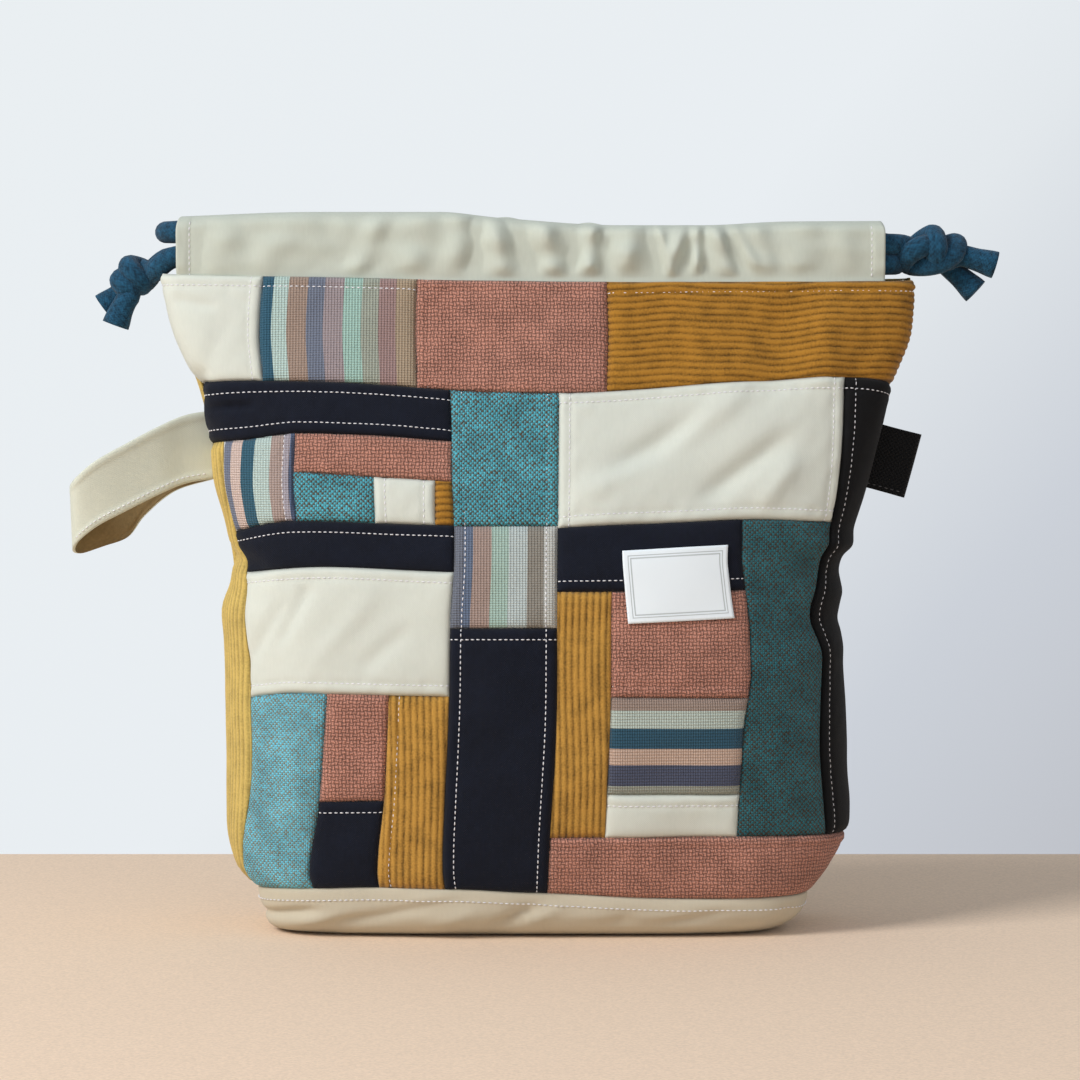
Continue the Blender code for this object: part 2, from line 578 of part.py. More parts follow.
def cord_route(side, height, knot, radius):
    """A cord's route: from its knot through one casing, round past the far ends and back.

    The turn starts inside the casings' slanted ends and leaves the cord's slack there.
    """
    near, far = (CASING_LEFT, CASING_RIGHT) if side < 0 else (CASING_RIGHT, CASING_LEFT)
    far += side * (CASING_SETBACK - CORD_SLACK + TURN_DEPTH)
    y = CASING_MIDDLE
    drop = height - knot[2]
    start = knot[0] - side * (radius - 0.0007)
    front = [(start, -0.0034, knot[2] + 0.45 * drop), (near + side * 0.0055, -0.0066, height - 0.10 * drop)]
    front += [(near + side * 0.0005, -y + 0.0004, height), (near - side * 0.006, -y, height)]
    run = np.linspace(near - side * 0.03, far + side * 0.012, 9)
    front += [(x, -y, height) for x in run]
    angles = np.linspace(math.pi / 2, 0, 5)
    turn = [(far - side * y * math.cos(t), -y * math.sin(t), height) for t in angles]
    return front + turn + [(x, -yy, z) for x, yy, z in (front + turn[:-1])[::-1]]


def build_cord(name, side, height, knot, radius):
    """A cord's loop, as a tube with filled ends."""
    points = spline_points(cord_route(side, height, knot, radius), 5.5 * CORD_RADIUS)
    curve = bpy.data.curves.new(name, "CURVE")
    curve.dimensions = "3D"
    curve.bevel_depth = CORD_RADIUS
    curve.bevel_resolution = 2
    curve.use_fill_caps = True
    line = curve.splines.new("POLY")
    line.points.add(len(points) - 1)
    for dot, point in zip(line.points, points):
        dot.co = (*point, 1)
    curve.materials.append(material("cord_cotton"))
    obj = bpy.data.objects.new(name, curve)
    bpy.context.scene.collection.objects.link(obj)


def tail_mesh(name, points):
    """A cord's free end, as a closed tube to join to its knot."""
    bm = bmesh.new()
    path = [np.array(p, float) for p in points]
    made = bmesh.ops.create_circle(bm, segments=TUBE_SIDES, radius=CORD_RADIUS, cap_ends=True)
    loop = made["verts"]
    for k, here in enumerate(path):
        if k:
            loop = next_loop(bm, loop)
        ahead = path[min(k + 1, len(path) - 1)] - path[max(k - 1, 0)]
        ahead /= np.linalg.norm(ahead)
        side = np.cross(ahead, (0, 1, 0))
        side /= np.linalg.norm(side)
        up = np.cross(side, ahead)
        for n, vert in enumerate(loop):
            turn = 2 * math.pi * n / TUBE_SIDES
            vert.co = here + CORD_RADIUS * (math.cos(turn) * side + math.sin(turn) * up)
    bmesh.ops.contextual_create(bm, geom=[edge for edge in bm.edges if edge.is_boundary])
    bmesh.ops.recalc_face_normals(bm, faces=bm.faces)
    return add_object(name, bm, "cord_cotton")


def build_knot(name, knot, radii, tails):
    """A knot of both ends of a cord, with its two tails."""
    bm = bmesh.new()
    bmesh.ops.create_uvsphere(bm, u_segments=10, v_segments=7, radius=1)
    for vert in bm.verts:
        vert.co = [knot[k] + radii[k] * vert.co[k] for k in range(3)]
    obj = add_object(name, bm, "cord_cotton")
    for index, tail in enumerate(tails):
        points = [[knot[k] + p[k] for k in range(3)] for p in tail]
        helper = tail_mesh(f"{name}_tail_{index}", points)
        helper.hide_render = True
        helper.display_type = "WIRE"
        join = obj.modifiers.new("Tail", "BOOLEAN")
        join.operation = "UNION"
        join.object = helper


def seated(x, height, middle, half_width_column):
    """Moves a point near a side seam with the body's side, which leans between two heights."""
    lean = float(section(height)[half_width_column] - section(middle)[half_width_column])
    return lean * math.exp(-abs(x) / HELD_REACH)


def build_strap():
    """The wrist strap, a loop of webbing with both ends in the left side seam."""
    side = float(section(STRAP_HEIGHT)[0]) - HOLD_DEPTH
    layer = STRAP_CLOTH / 2 + GAP / 2
    route = [(0.0, -layer, 0.0)] + list(STRAP_ROUTE) + [(0.0, layer, 0.0)]
    points = spline_points(route, 0.009)

    def place(a, b):
        x, y, z = points[round(a * (len(points) - 1))]
        height = STRAP_HEIGHT + z + (b - 0.5) * STRAP_WIDTH
        return (x - side - seated(x, height, STRAP_HEIGHT, 0), y, height)

    sheet("strap_loop", len(points) - 1, 2, place, "sage_twill", STRAP_CLOTH, 0)


def build_tab():
    """The side tab, a short webbing folded flat with its ends in the right side seam."""
    start = float(section(TAB_HEIGHT)[1]) - HOLD_DEPTH
    layer = STRAP_CLOTH / 2 + GAP / 2
    run = [0, 0.004, 0.009, TAB_LENGTH]
    path = [(x, -layer) for x in run]
    path += [(TAB_LENGTH + 1.2 * layer, -0.55 * layer), (TAB_LENGTH + 1.2 * layer, 0.55 * layer)]
    path += [(x, layer) for x in run[::-1]]

    def place(a, b):
        x, y = path[round(a * (len(path) - 1))]
        height = TAB_HEIGHT - TAB_DROP * x / TAB_LENGTH + (b - 0.5) * TAB_WIDTH
        return (start + x + seated(x, height, TAB_HEIGHT, 1), y, height)

    sheet("side_tab", len(path) - 1, 3, place, "black_webbing", STRAP_CLOTH, 0)


def build_label():
    """The blank woven label, sewn over the dark band and the pink patch."""
    lower_left, lower_right, upper_left, upper_right = (np.array(c) for c in LABEL_CORNERS)

    def place(a, b):
        low = lower_left + a * (lower_right - lower_left)
        high = upper_left + a * (upper_right - upper_left)
        share, height = low + b * (high - low)
        return BODY.off(float(share), float(height), PUFF + GAP + LABEL_CLOTH)

    sheet("label", 5, 4, place, "label_white", LABEL_CLOTH)


def clear_scene():
    """Removes whatever the scene holds."""
    for obj in list(bpy.data.objects):
        bpy.data.objects.remove(obj, do_unlink=True)


def main():
    clear_scene()
    for name, parts in PATCHES.items():
        build_patch(name, *parts)
    build_back()
    build_base()
    build_lining()
    build_casing("front_casing", False)
    build_casing("back_casing", True)
    build_cord("left_drawstring", -1, LOW_CORD_HEIGHT, LEFT_KNOT, LEFT_KNOT_RADII[0])
    build_cord("right_drawstring", 1, HIGH_CORD_HEIGHT, RIGHT_KNOT, RIGHT_KNOT_RADII[0])
    build_knot("left_drawstring_knot", LEFT_KNOT, LEFT_KNOT_RADII, LEFT_TAILS)
    build_knot("right_drawstring_knot", RIGHT_KNOT, RIGHT_KNOT_RADII, RIGHT_TAILS)
    build_strap()
    build_tab()
    build_label()


main()
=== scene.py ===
"""Looks of a patchwork drawstring bag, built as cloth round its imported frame.

Every cloth follows one body surface, described by its sections from the base to the mouth, and
adds its own weave, wales, puckers and topstitching. Sizes are in metres, +Z up, front towards -Y.
"""

import math
from functools import cache, partial

import bmesh
import bpy
import numpy as np
from mathutils import Matrix, Vector


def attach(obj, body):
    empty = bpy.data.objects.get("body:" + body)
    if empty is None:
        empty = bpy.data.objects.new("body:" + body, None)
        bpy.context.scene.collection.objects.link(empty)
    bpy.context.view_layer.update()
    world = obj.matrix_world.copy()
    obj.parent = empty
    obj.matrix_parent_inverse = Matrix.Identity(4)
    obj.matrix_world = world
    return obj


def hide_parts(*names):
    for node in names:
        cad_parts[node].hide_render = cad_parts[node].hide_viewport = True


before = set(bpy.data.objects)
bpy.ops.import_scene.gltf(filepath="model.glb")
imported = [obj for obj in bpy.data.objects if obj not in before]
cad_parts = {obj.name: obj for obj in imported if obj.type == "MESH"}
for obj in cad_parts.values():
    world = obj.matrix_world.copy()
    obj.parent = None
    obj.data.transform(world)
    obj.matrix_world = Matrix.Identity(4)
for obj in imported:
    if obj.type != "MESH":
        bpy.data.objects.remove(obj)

bl_info = {
    "name": "Patchwork drawstring bag",
    "version": (1, 0, 0),
    "blender": (4, 5, 0),
    "location": "3D View > Sidebar > Bag",
    "description": "Builds the cloths, cords and stitches of a patchwork bag and its studio",
    "category": "Object",
}

# The camera stands where the photo's did.
CAMERA_PLACE = (0.00152, -1.49794, 0.22461)
CAMERA_AIM = (0.00152, 0.0, 0.14611)
CAMERA_LENS = 131.58

# Cloths, the air between them, and the cords, as in the frame
CLOTH = 0.0011
LINING_CLOTH = 0.0008
CASING_CLOTH = 0.0009
STRAP_CLOTH = 0.0011
LABEL_CLOTH = 0.0006
GAP = 0.0003
CORD_RADIUS = 0.0041
CORD_EASE = 0.0005

# The body, its base and its lining
BODY_HEIGHT = 0.2455
BASE_HALF_WIDTH_LEFT = 0.0970
BASE_HALF_WIDTH_RIGHT = 0.0950
BASE_HALF_DEPTH = 0.0390
BELLY_HALF_DEPTH = 0.0490
BASE_WALL = 0.0120
BASE_SIDES = 192
BASE_LOOPS = 22
BACK_WIDTH = 0.28
BACK_HEIGHT = 0.22
LINING_EASE = 0.0012
LINING_ROOM = 0.0012
LINING_SIDES = 96
LINING_LOOPS = 40
LINING_START = 0.0065
LINING_DROP = 0.0010
LINING_FLOOR_SHARE = 0.965
FLOOR_INSET = 0.0120

# The casings and the cords' runs in them
CASING_SLIT = 0.0062
CHANNEL_HALF = CORD_RADIUS + CORD_EASE
CASING_MIDDLE = CASING_SLIT / 2 + CASING_CLOTH + CHANNEL_HALF
CASING_OUTER = CASING_MIDDLE + CHANNEL_HALF + CASING_CLOTH
MOUTH_HALF_DEPTH = CASING_OUTER + GAP + CLOTH
CASING_LEFT = -0.1350
CASING_RIGHT = 0.1310
CASING_SETBACK = 0.0040
LOW_CORD_HEIGHT = BODY_HEIGHT + 0.0078
HIGH_CORD_HEIGHT = LOW_CORD_HEIGHT + 2 * CORD_RADIUS + 0.0018
CORD_SLACK = 0.0020
TURN_DEPTH = 0.0015

# The strap, the tab and the label, whose printed lines have an inset and a half-width each
STRAP_HEIGHT = 0.1825
STRAP_WIDTH = 0.0258
TAB_HEIGHT = 0.1785
TAB_WIDTH = 0.0240
TAB_LENGTH = 0.0150
TAB_HELD = 0.0010
TAB_DROP = 0.0040
TAB_LEAN = 0.20
TAB_SEAM_REACH = 0.0120
LABEL_WIDTH = 0.0405
LABEL_HEIGHT = 0.0275
LABEL_LINES = ((0.0021, 0.00012), (0.0031, 0.00016))

# Sections of the body: height, left half-width, right half-width, half-depth, squareness
SECTIONS = (
    (0.0000, BASE_HALF_WIDTH_LEFT - 0.0040, BASE_HALF_WIDTH_RIGHT - 0.0110, BASE_HALF_DEPTH - 0.0120, 4.2),
    (0.0015, BASE_HALF_WIDTH_LEFT + 0.0020, BASE_HALF_WIDTH_RIGHT - 0.0040, BASE_HALF_DEPTH - 0.0055, 4.4),
    (0.0042, BASE_HALF_WIDTH_LEFT + 0.0042, BASE_HALF_WIDTH_RIGHT, BASE_HALF_DEPTH, 4.6),
    (0.0090, 0.1024, 0.0995, BASE_HALF_DEPTH + 0.0035, 4.6),
    (0.0160, 0.1044, 0.1030, BASE_HALF_DEPTH + 0.0045, 4.6),
    (0.0260, 0.1125, 0.1105, BASE_HALF_DEPTH + 0.0065, 3.8),
    (0.0410, 0.1162, 0.1178, BELLY_HALF_DEPTH - 0.0020, 3.2),
    (0.0680, 0.1167, 0.1172, BELLY_HALF_DEPTH, 2.9),
    (0.0980, 0.1173, 0.1152, BELLY_HALF_DEPTH, 2.8),
    (0.1200, 0.1182, 0.1138, BELLY_HALF_DEPTH - 0.0015, 2.8),
    (0.1380, 0.1145, 0.1143, BELLY_HALF_DEPTH - 0.0040, 3.0),
    (0.1510, 0.1162, 0.1192, BELLY_HALF_DEPTH - 0.0070, 3.2),
    (0.1700, 0.1215, 0.1250, 0.0375, 3.6),
    (0.1880, 0.1235, 0.1295, 0.0325, 4.2),
    (0.2060, 0.1280, 0.1338, 0.0272, 5.0),
    (0.2260, 0.1362, 0.1408, 0.0210, 6.5),
    (BODY_HEIGHT + 0.0020, 0.1414, 0.1426, MOUTH_HALF_DEPTH - 0.0003, 8.0),
)

# Seams across the front: share of the cloth from the middle to the side seam, height
TOP_EDGE = ((-1, 0.2471), (-0.6, 0.2459), (0.2, 0.2440), (1, 0.2445))
ROW_SEAM = (
    (-1, 0.2040), (-0.735, 0.2072), (-0.53, 0.2064), (0.055, 0.2024),
    (0.40, 0.2057), (0.77, 0.2083), (1, 0.2035),
)
UPPER_BAND_SEAM = ((-1, 0.1822), (-0.78, 0.1848), (-0.615, 0.1875), (-0.218, 0.1850))
PINK_SEAM = ((-0.63, 0.1731), (-0.213, 0.1699))
LOWER_BAND_TOP = ((-1, 0.1475), (-0.843, 0.1506), (-0.64, 0.1550), (-0.22, 0.1538))
LOWER_BAND_SEAM = ((-0.822, 0.1354), (-0.55, 0.1382), (-0.22, 0.1366))
CREAM_SEAM = ((-0.78, 0.0889), (-0.62, 0.0914), (-0.225, 0.0907))
LOWER_PINK_SEAM = ((-0.567, 0.0511), (-0.396, 0.0516))
CENTRE_TEAL_SEAM = ((-0.22, 0.1536), (0.057, 0.1535))
CENTRE_STRIPE_SEAM = ((-0.222, 0.1159), (0.056, 0.1160))
RIGHT_CREAM_SEAM = ((0.057, 0.1527), (0.425, 0.1552), (0.54, 0.1559), (0.79, 0.1542))
RIGHT_BAND_SEAM = ((0.056, 0.1294), (0.56, 0.1297))
RIGHT_PINK_SEAM = ((0.196, 0.0904), (0.565, 0.0898))
RIGHT_STRIPE_SEAM = ((0.183, 0.0544), (0.528, 0.0539))
RIGHT_FOOT_SEAM = ((0.036, 0.0383), (0.52, 0.0382), (0.77, 0.0376), (1, 0.0360))
BASE_SEAM = (
    (-1, 0.0165), (-0.43, 0.0188), (-0.245, 0.0188), (0.031, 0.0170), (0.50, 0.0145), (1, 0.0155),
)

# Seams up the front: height, share of the cloth from the middle to the side seam
MIDDLE_LEFT = (
    (0.0188, -0.247), (0.0907, -0.225), (0.1158, -0.222), (0.1535, -0.217), (0.2038, -0.221),
)
MIDDLE_RIGHT = ((0.0170, 0.031), (0.0375, 0.036), (0.0908, 0.055), (0.1535, 0.057), (0.2038, 0.057))
LEFT_STRIP = (
    (0.0165, -0.845), (0.0323, -0.804), (0.0624, -0.770), (0.1225, -0.795),
    (0.1372, -0.828), (0.1468, -0.856), (0.1832, -0.841),
)
STRIPE_EDGE = ((0.1528, -0.640), (0.1849, -0.628))
SMALL_CREAM_EDGE = ((0.1545, -0.427), (0.1732, -0.421))
SMALL_OCHRE_EDGE = ((0.1538, -0.268), (0.1699, -0.262))
TOP_CREAM_EDGE = ((0.2064, -0.705), (0.2460, -0.674))
TOP_STRIPE_EDGE = ((0.2042, -0.306), (0.2445, -0.294))
TOP_PINK_EDGE = ((0.2042, 0.176), (0.2437, 0.173))
LOWER_TEAL_EDGE = ((0.0184, -0.612), (0.0511, -0.566), (0.0902, -0.545))
LOWER_OCHRE_EDGE = ((0.0188, -0.428), (0.0516, -0.396), (0.0906, -0.383))
RIGHT_OCHRE_EDGE = ((0.0383, 0.178), (0.0544, 0.183), (0.0896, 0.196), (0.1293, 0.203))
TEAL_EDGE = (
    (0.0382, 0.519), (0.0772, 0.543), (0.1000, 0.574), (0.1153, 0.578), (0.1555, 0.538),
)
RIGHT_STRIP = (
    (0.0376, 0.774), (0.0673, 0.766), (0.1033, 0.797), (0.1210, 0.766),
    (0.1385, 0.796), (0.1542, 0.791), (0.2083, 0.765),
)
LEFT_SEAM = ((0.0, -1.0), (0.3, -1.0))
RIGHT_SEAM = ((0.0, 1.0), (0.3, 1.0))
BACK_BASE_SEAM = (BASE_SEAM[0], BASE_SEAM[-1])

# Patch: left seam, right seam, lower seam, upper seam, cloth, topstitched sides
PATCHES = {
    "top_cream_patch": (LEFT_SEAM, TOP_CREAM_EDGE, ROW_SEAM, TOP_EDGE, "cream", "right upper"),
    "top_striped_patch": (TOP_CREAM_EDGE, TOP_STRIPE_EDGE, ROW_SEAM, TOP_EDGE, "stripes_top", "upper"),
    "top_pink_patch": (TOP_STRIPE_EDGE, TOP_PINK_EDGE, ROW_SEAM, TOP_EDGE, "pink", "left upper"),
    "top_corduroy_patch": (TOP_PINK_EDGE, RIGHT_SEAM, ROW_SEAM, TOP_EDGE, "ochre_across", "left upper"),
    "upper_dark_band": (LEFT_SEAM, MIDDLE_LEFT, UPPER_BAND_SEAM, ROW_SEAM, "dark", "upper lower"),
    "left_side_strip": (LEFT_SEAM, LEFT_STRIP, BASE_SEAM, UPPER_BAND_SEAM, "yellow_up", ""),
    "left_striped_patch": (LEFT_STRIP, STRIPE_EDGE, LOWER_BAND_TOP, UPPER_BAND_SEAM, "stripes_left", "right"),
    "left_pink_patch": (STRIPE_EDGE, MIDDLE_LEFT, PINK_SEAM, UPPER_BAND_SEAM, "pink", ""),
    "left_teal_patch": (STRIPE_EDGE, SMALL_CREAM_EDGE, LOWER_BAND_TOP, PINK_SEAM, "teal", ""),
    "small_cream_patch":
        (SMALL_CREAM_EDGE, SMALL_OCHRE_EDGE, LOWER_BAND_TOP, PINK_SEAM, "cream", "left right"),
    "small_corduroy_patch": (SMALL_OCHRE_EDGE, MIDDLE_LEFT, LOWER_BAND_TOP, PINK_SEAM, "ochre_across", ""),
    "lower_dark_band": (LEFT_STRIP, MIDDLE_LEFT, LOWER_BAND_SEAM, LOWER_BAND_TOP, "dark", "upper"),
    "left_cream_patch": (LEFT_STRIP, MIDDLE_LEFT, CREAM_SEAM, LOWER_BAND_SEAM, "cream", "upper lower"),
    "lower_teal_patch": (LEFT_STRIP, LOWER_TEAL_EDGE, BASE_SEAM, CREAM_SEAM, "teal_pale", ""),
    "lower_pink_patch": (LOWER_TEAL_EDGE, LOWER_OCHRE_EDGE, LOWER_PINK_SEAM, CREAM_SEAM, "pink", ""),
    "lower_dark_patch": (LOWER_TEAL_EDGE, LOWER_OCHRE_EDGE, BASE_SEAM, LOWER_PINK_SEAM, "dark", "upper"),
    "lower_corduroy_patch": (LOWER_OCHRE_EDGE, MIDDLE_LEFT, BASE_SEAM, CREAM_SEAM, "ochre_up", "left"),
    "middle_teal_patch": (MIDDLE_LEFT, MIDDLE_RIGHT, CENTRE_TEAL_SEAM, ROW_SEAM, "teal", "left right"),
    "middle_striped_patch":
        (MIDDLE_LEFT, MIDDLE_RIGHT, CENTRE_STRIPE_SEAM, CENTRE_TEAL_SEAM, "stripes_middle", "left right"),
    "middle_dark_patch":
        (MIDDLE_LEFT, MIDDLE_RIGHT, BASE_SEAM, CENTRE_STRIPE_SEAM, "dark", "left right upper"),
    "right_cream_patch":
        (MIDDLE_RIGHT, RIGHT_STRIP, RIGHT_CREAM_SEAM, ROW_SEAM, "cream", "left right upper lower"),
    "right_dark_band": (MIDDLE_RIGHT, TEAL_EDGE, RIGHT_BAND_SEAM, RIGHT_CREAM_SEAM, "dark", "lower"),
    "right_corduroy_patch":
        (MIDDLE_RIGHT, RIGHT_OCHRE_EDGE, RIGHT_FOOT_SEAM, RIGHT_BAND_SEAM, "ochre_up", ""),
    "right_pink_patch": (RIGHT_OCHRE_EDGE, TEAL_EDGE, RIGHT_PINK_SEAM, RIGHT_BAND_SEAM, "pink", "lower"),
    "right_striped_patch":
        (RIGHT_OCHRE_EDGE, TEAL_EDGE, RIGHT_STRIPE_SEAM, RIGHT_PINK_SEAM, "stripes_right", ""),
    "right_small_cream_patch":
        (RIGHT_OCHRE_EDGE, TEAL_EDGE, RIGHT_FOOT_SEAM, RIGHT_STRIPE_SEAM, "cream", "upper"),
    "right_teal_patch": (TEAL_EDGE, RIGHT_STRIP, RIGHT_FOOT_SEAM, RIGHT_CREAM_SEAM, "teal_dark", ""),
    "right_side_strip": (RIGHT_STRIP, RIGHT_SEAM, RIGHT_FOOT_SEAM, ROW_SEAM, "night", "left upper"),
    "right_pink_foot": (MIDDLE_RIGHT, RIGHT_SEAM, BASE_SEAM, RIGHT_FOOT_SEAM, "pink", "upper"),
}
LABEL_CORNERS = ((0.245, 0.1176), (0.532, 0.1194), (0.228, 0.1440), (0.507, 0.1464))

# Stripes of each striped cloth: where the stripe ends, as a share of the patch, and its sRGB colour
STRIPES = {
    "stripes_top": (
        (0.075, 48, 90, 112), (0.175, 180, 203, 198), (0.30, 158, 138, 126), (0.41, 112, 120, 138),
        (0.535, 156, 144, 148), (0.65, 158, 192, 182), (0.76, 158, 164, 152), (0.87, 156, 130, 128),
        (1.0, 168, 150, 128)),
    "stripes_left": (
        (0.04, 222, 224, 226), (0.165, 112, 120, 140), (0.32, 206, 186, 178), (0.49, 52, 94, 114),
        (0.70, 184, 204, 200), (0.86, 170, 152, 146), (0.945, 164, 158, 168), (1.0, 88, 102, 130)),
    "stripes_middle": (
        (0.09, 110, 116, 130), (0.18, 98, 112, 136), (0.36, 164, 144, 136), (0.53, 164, 190, 180),
        (0.71, 184, 196, 196), (0.865, 142, 138, 130), (1.0, 188, 190, 186)),
    "stripes_right": (
        (0.095, 152, 156, 146), (0.31, 76, 82, 102), (0.48, 192, 166, 150), (0.685, 46, 82, 102),
        (0.87, 180, 192, 184), (1.0, 154, 136, 126)),
}
STRIPES_UP = ("stripes_right",)

LEFT_KNOT = (-0.1525, 0.0, 0.2450)
RIGHT_KNOT = (0.1485, 0.0, 0.2558)

# How finely the body and the cloths are read
SHARE_STEPS = 240
HEIGHT_STEPS = 300
SECTION_STEPS = 1200
FINE_CELL = 0.0011
PILE_CELL = 0.0026
WALE_SAMPLES = 6
UPRIGHT_PILE = ("ochre_up", "yellow_up")
BACK_CELLS = (690, 80)
CASING_CELLS = (340, 56)
STRAP_CELLS = (110, 26)
TAB_CELLS = (60, 24)
LABEL_CELLS = (44, 30)
CORD_SIDES = 16
CORD_STEP = 0.0016

# Relief beside seams and topstitches: its height, and how far it reaches into the cloth
SEAM_REACH = 0.0012
GROOVE_REACH = 0.0011
HEM_HEIGHT = 0.00035
HEM_REACH = 0.0004
PUCKER_HEIGHT = 0.00028
PUCKER_LENGTH = 0.0065
PUCKER_REACH = 0.0080

# Broad folds: lengths of the two waves, share of the finer one, and how calm they grow at the sides, the
# foot and the mouth
BROAD_WAVE = 0.075
FINE_WAVE = 0.026
FINE_WAVE_SHARE = 0.40
CALM_HALF_WIDTH = 0.13
CALM_SHARE = 0.85
FOOT_SETTLE = 0.006
MOUTH_SETTLE = 0.020
MOUTH_LEAST = 0.25
SETTLE_TOP = BODY_HEIGHT + 0.004
# Where the folds at the side seams start, and how the upright wales wander
SIDE_FOLD_START = 0.095
SIDE_FOLD_RUN = 0.015
WALE_WANDER = 0.0004
WALE_WANDER_LENGTH = 0.013

# One topstitch: its half-sizes, over how far its direction is read, how far it stands off, and how deep it
# sinks into a thick cloth
STITCH_SIZE = (0.00076, 0.00024, 0.00024)
STITCH_AHEAD = 0.0003
STITCH_LIFT = 0.0001
SUNK = {"pink": 0.00033, "ochre_across": 0.00030, "ochre_up": 0.00026, "teal": 0.00024, "night": 0.00012}
# Rows of topstitches: how far round the base its row goes, and how far it lies below the base's seam, and
# the rows of the strap and the tab as shares of their widths
BASE_STITCH_END = 0.93
BASE_STITCH_DROP = 0.0042
STRAP_STITCH_SHARE = 0.085
TAB_STITCH_SHARE = 0.07
# Outward directions of the front and the back
TO_FRONT = Vector((0, -1, 0))
TO_BACK = Vector((0, 1, 0))


def metres(name, description, default):
    """A length property."""
    return bpy.props.FloatProperty(name=name, description=description, default=default, unit="LENGTH")


class BagSizes(bpy.types.PropertyGroup):
    """Sizes of the cloths' relief and of the stitching."""

    puff: metres("Puff", "How far a patch stands above its seams", 0.0008)
    seam_dip: metres("Seam dip", "How deep the cloth sinks into a seam", 0.0007)
    stitch_dip: metres("Stitch dip", "How deep a topstitch draws the cloth in", 0.0004)
    stitch_inset: metres("Stitch inset", "Distance from a seam to its topstitch", 0.0041)
    stitch_pitch: metres("Stitch pitch", "Length of one stitch and its gap", 0.00205)
    wale_pitch: metres("Wale pitch", "Distance between two wales of the corduroy", 0.0025)
    wale_depth: metres("Wale depth", "Depth of the corduroy's valleys", 0.00055)
    wrinkle: metres("Wrinkle", "Height of the broad folds in the cloth", 0.0014)


def colour(name, description, *srgb):
    """A colour property whose default is written as sRGB, 0 to 255."""
    return bpy.props.FloatVectorProperty(
        name=name, description=description, subtype="COLOR", size=3, min=0, max=1, default=linear(*srgb))


def linear(*srgb):
    """Linear colour from sRGB values, 0 to 255."""
    values = [c / 255 for c in srgb]
    return tuple(c / 12.92 if c <= 0.04045 else ((c + 0.055) / 1.055) ** 2.4 for c in values)


class BagColours(bpy.types.PropertyGroup):
    """Colours of the cloths, cords and thread."""

    cream: colour("Cream", "Cream canvas", 212, 217, 208)
    ochre: colour("Ochre", "Ochre corduroy", 152, 107, 36)
    ochre_up: colour("Upright ochre", "Ochre corduroy whose wales stand upright", 169, 127, 57)
    # The base's canvas is a darker, warmer copy of the cream canvas, as painted shade where the base turns
    # under the bag.
    base_in_shade: colour("Base canvas", "Canvas of the base, darkened as painted shade", 200, 192, 172)
    yellow: colour("Yellow", "Yellow ochre corduroy at the left side", 189, 164, 92)
    pink: colour("Pink", "Pink basket weave", 178, 126, 110)
    teal: colour("Teal", "Teal yarn", 84, 182, 202)
    # The right teal cloth's yarn: a darker teal, made darker still as painted shade on the bag's right side.
    teal_dark: colour("Dark teal", "Teal yarn of a darker cloth, deepened further as painted shade", 40, 108, 120)
    teal_pale: colour("Pale teal", "Teal yarn of the paler cloth", 112, 206, 232)
    grey: colour("Grey", "Grey brown yarn of the paler teal cloth", 132, 136, 122)
    brown: colour("Brown", "Brown yarn of the teal cloths", 86, 76, 62)
    dark: colour("Dark", "Dark navy cotton", 13, 19, 34)
    sage: colour("Sage", "Sage twill of the casings", 196, 203, 192)
    strap: colour("Strap", "Pale sage of the strap", 212, 217, 203)
    # The strap's inner face is the strap's cloth painted dark and brown as painted shade inside the loop.
    strap_inner_shade: colour("Strap inside", "Strap's inner face, in painted shade", 132, 114, 80)
    lining: colour("Lining", "Plain lining", 190, 186, 170)
    cord: colour("Cord", "Soft teal cord", 24, 68, 94)
    black: colour("Black", "Black webbing", 12, 13, 16)
    label: colour("Label", "White label", 238, 248, 255)
    thread: colour("Thread", "Topstitching thread", 236, 236, 242)


def sizes():
    return bpy.context.scene.bag_sizes


def colours():
    return bpy.context.scene.bag_colours


def smooth(x, points):
    """A curve through the points that never overshoots them, read at x."""
    xs, ys = np.array(points, float).T
    chords = np.diff(ys) / np.diff(xs)
    before, after = chords[:-1], chords[1:]
    same = before * after > 0
    total = np.where(same, before + after, 1.0)
    inner = np.where(same, 2 * before * after / total, 0.0)
    slopes = np.concatenate([chords[:1], inner, chords[-1:]])
    x = np.clip(x, xs[0], xs[-1])
    i = np.clip(np.searchsorted(xs, x) - 1, 0, len(xs) - 2)
    wide = xs[i + 1] - xs[i]
    t = (x - xs[i]) / wide
    rise = ys[i] * (1 + 2 * t) * (1 - t) ** 2 + ys[i + 1] * t * t * (3 - 2 * t)
    return rise + wide * (slopes[i] * t * (1 - t) ** 2 - slopes[i + 1] * t * t * (1 - t))


def way_along(points):
    """Distance along a line at each of its points."""
    return np.concatenate([[0], np.cumsum(np.linalg.norm(np.diff(points, axis=0), axis=1))])


def half_section(half_width, half_depth, squareness):
    """The front cloth from the middle to a side seam, in even steps along it, and its length."""
    turn = np.linspace(0, math.pi / 2, SECTION_STEPS)
    x = half_width * np.sin(turn) ** (2 / squareness)
    y = half_depth * np.cos(turn) ** (2 / squareness)
    x[0], y[-1] = 0.0, 0.0
    along = way_along(np.stack([x, y], -1))
    even = np.linspace(0, along[-1], SHARE_STEPS + 1)
    return np.interp(even, along, x), np.interp(even, along, y), along[-1]


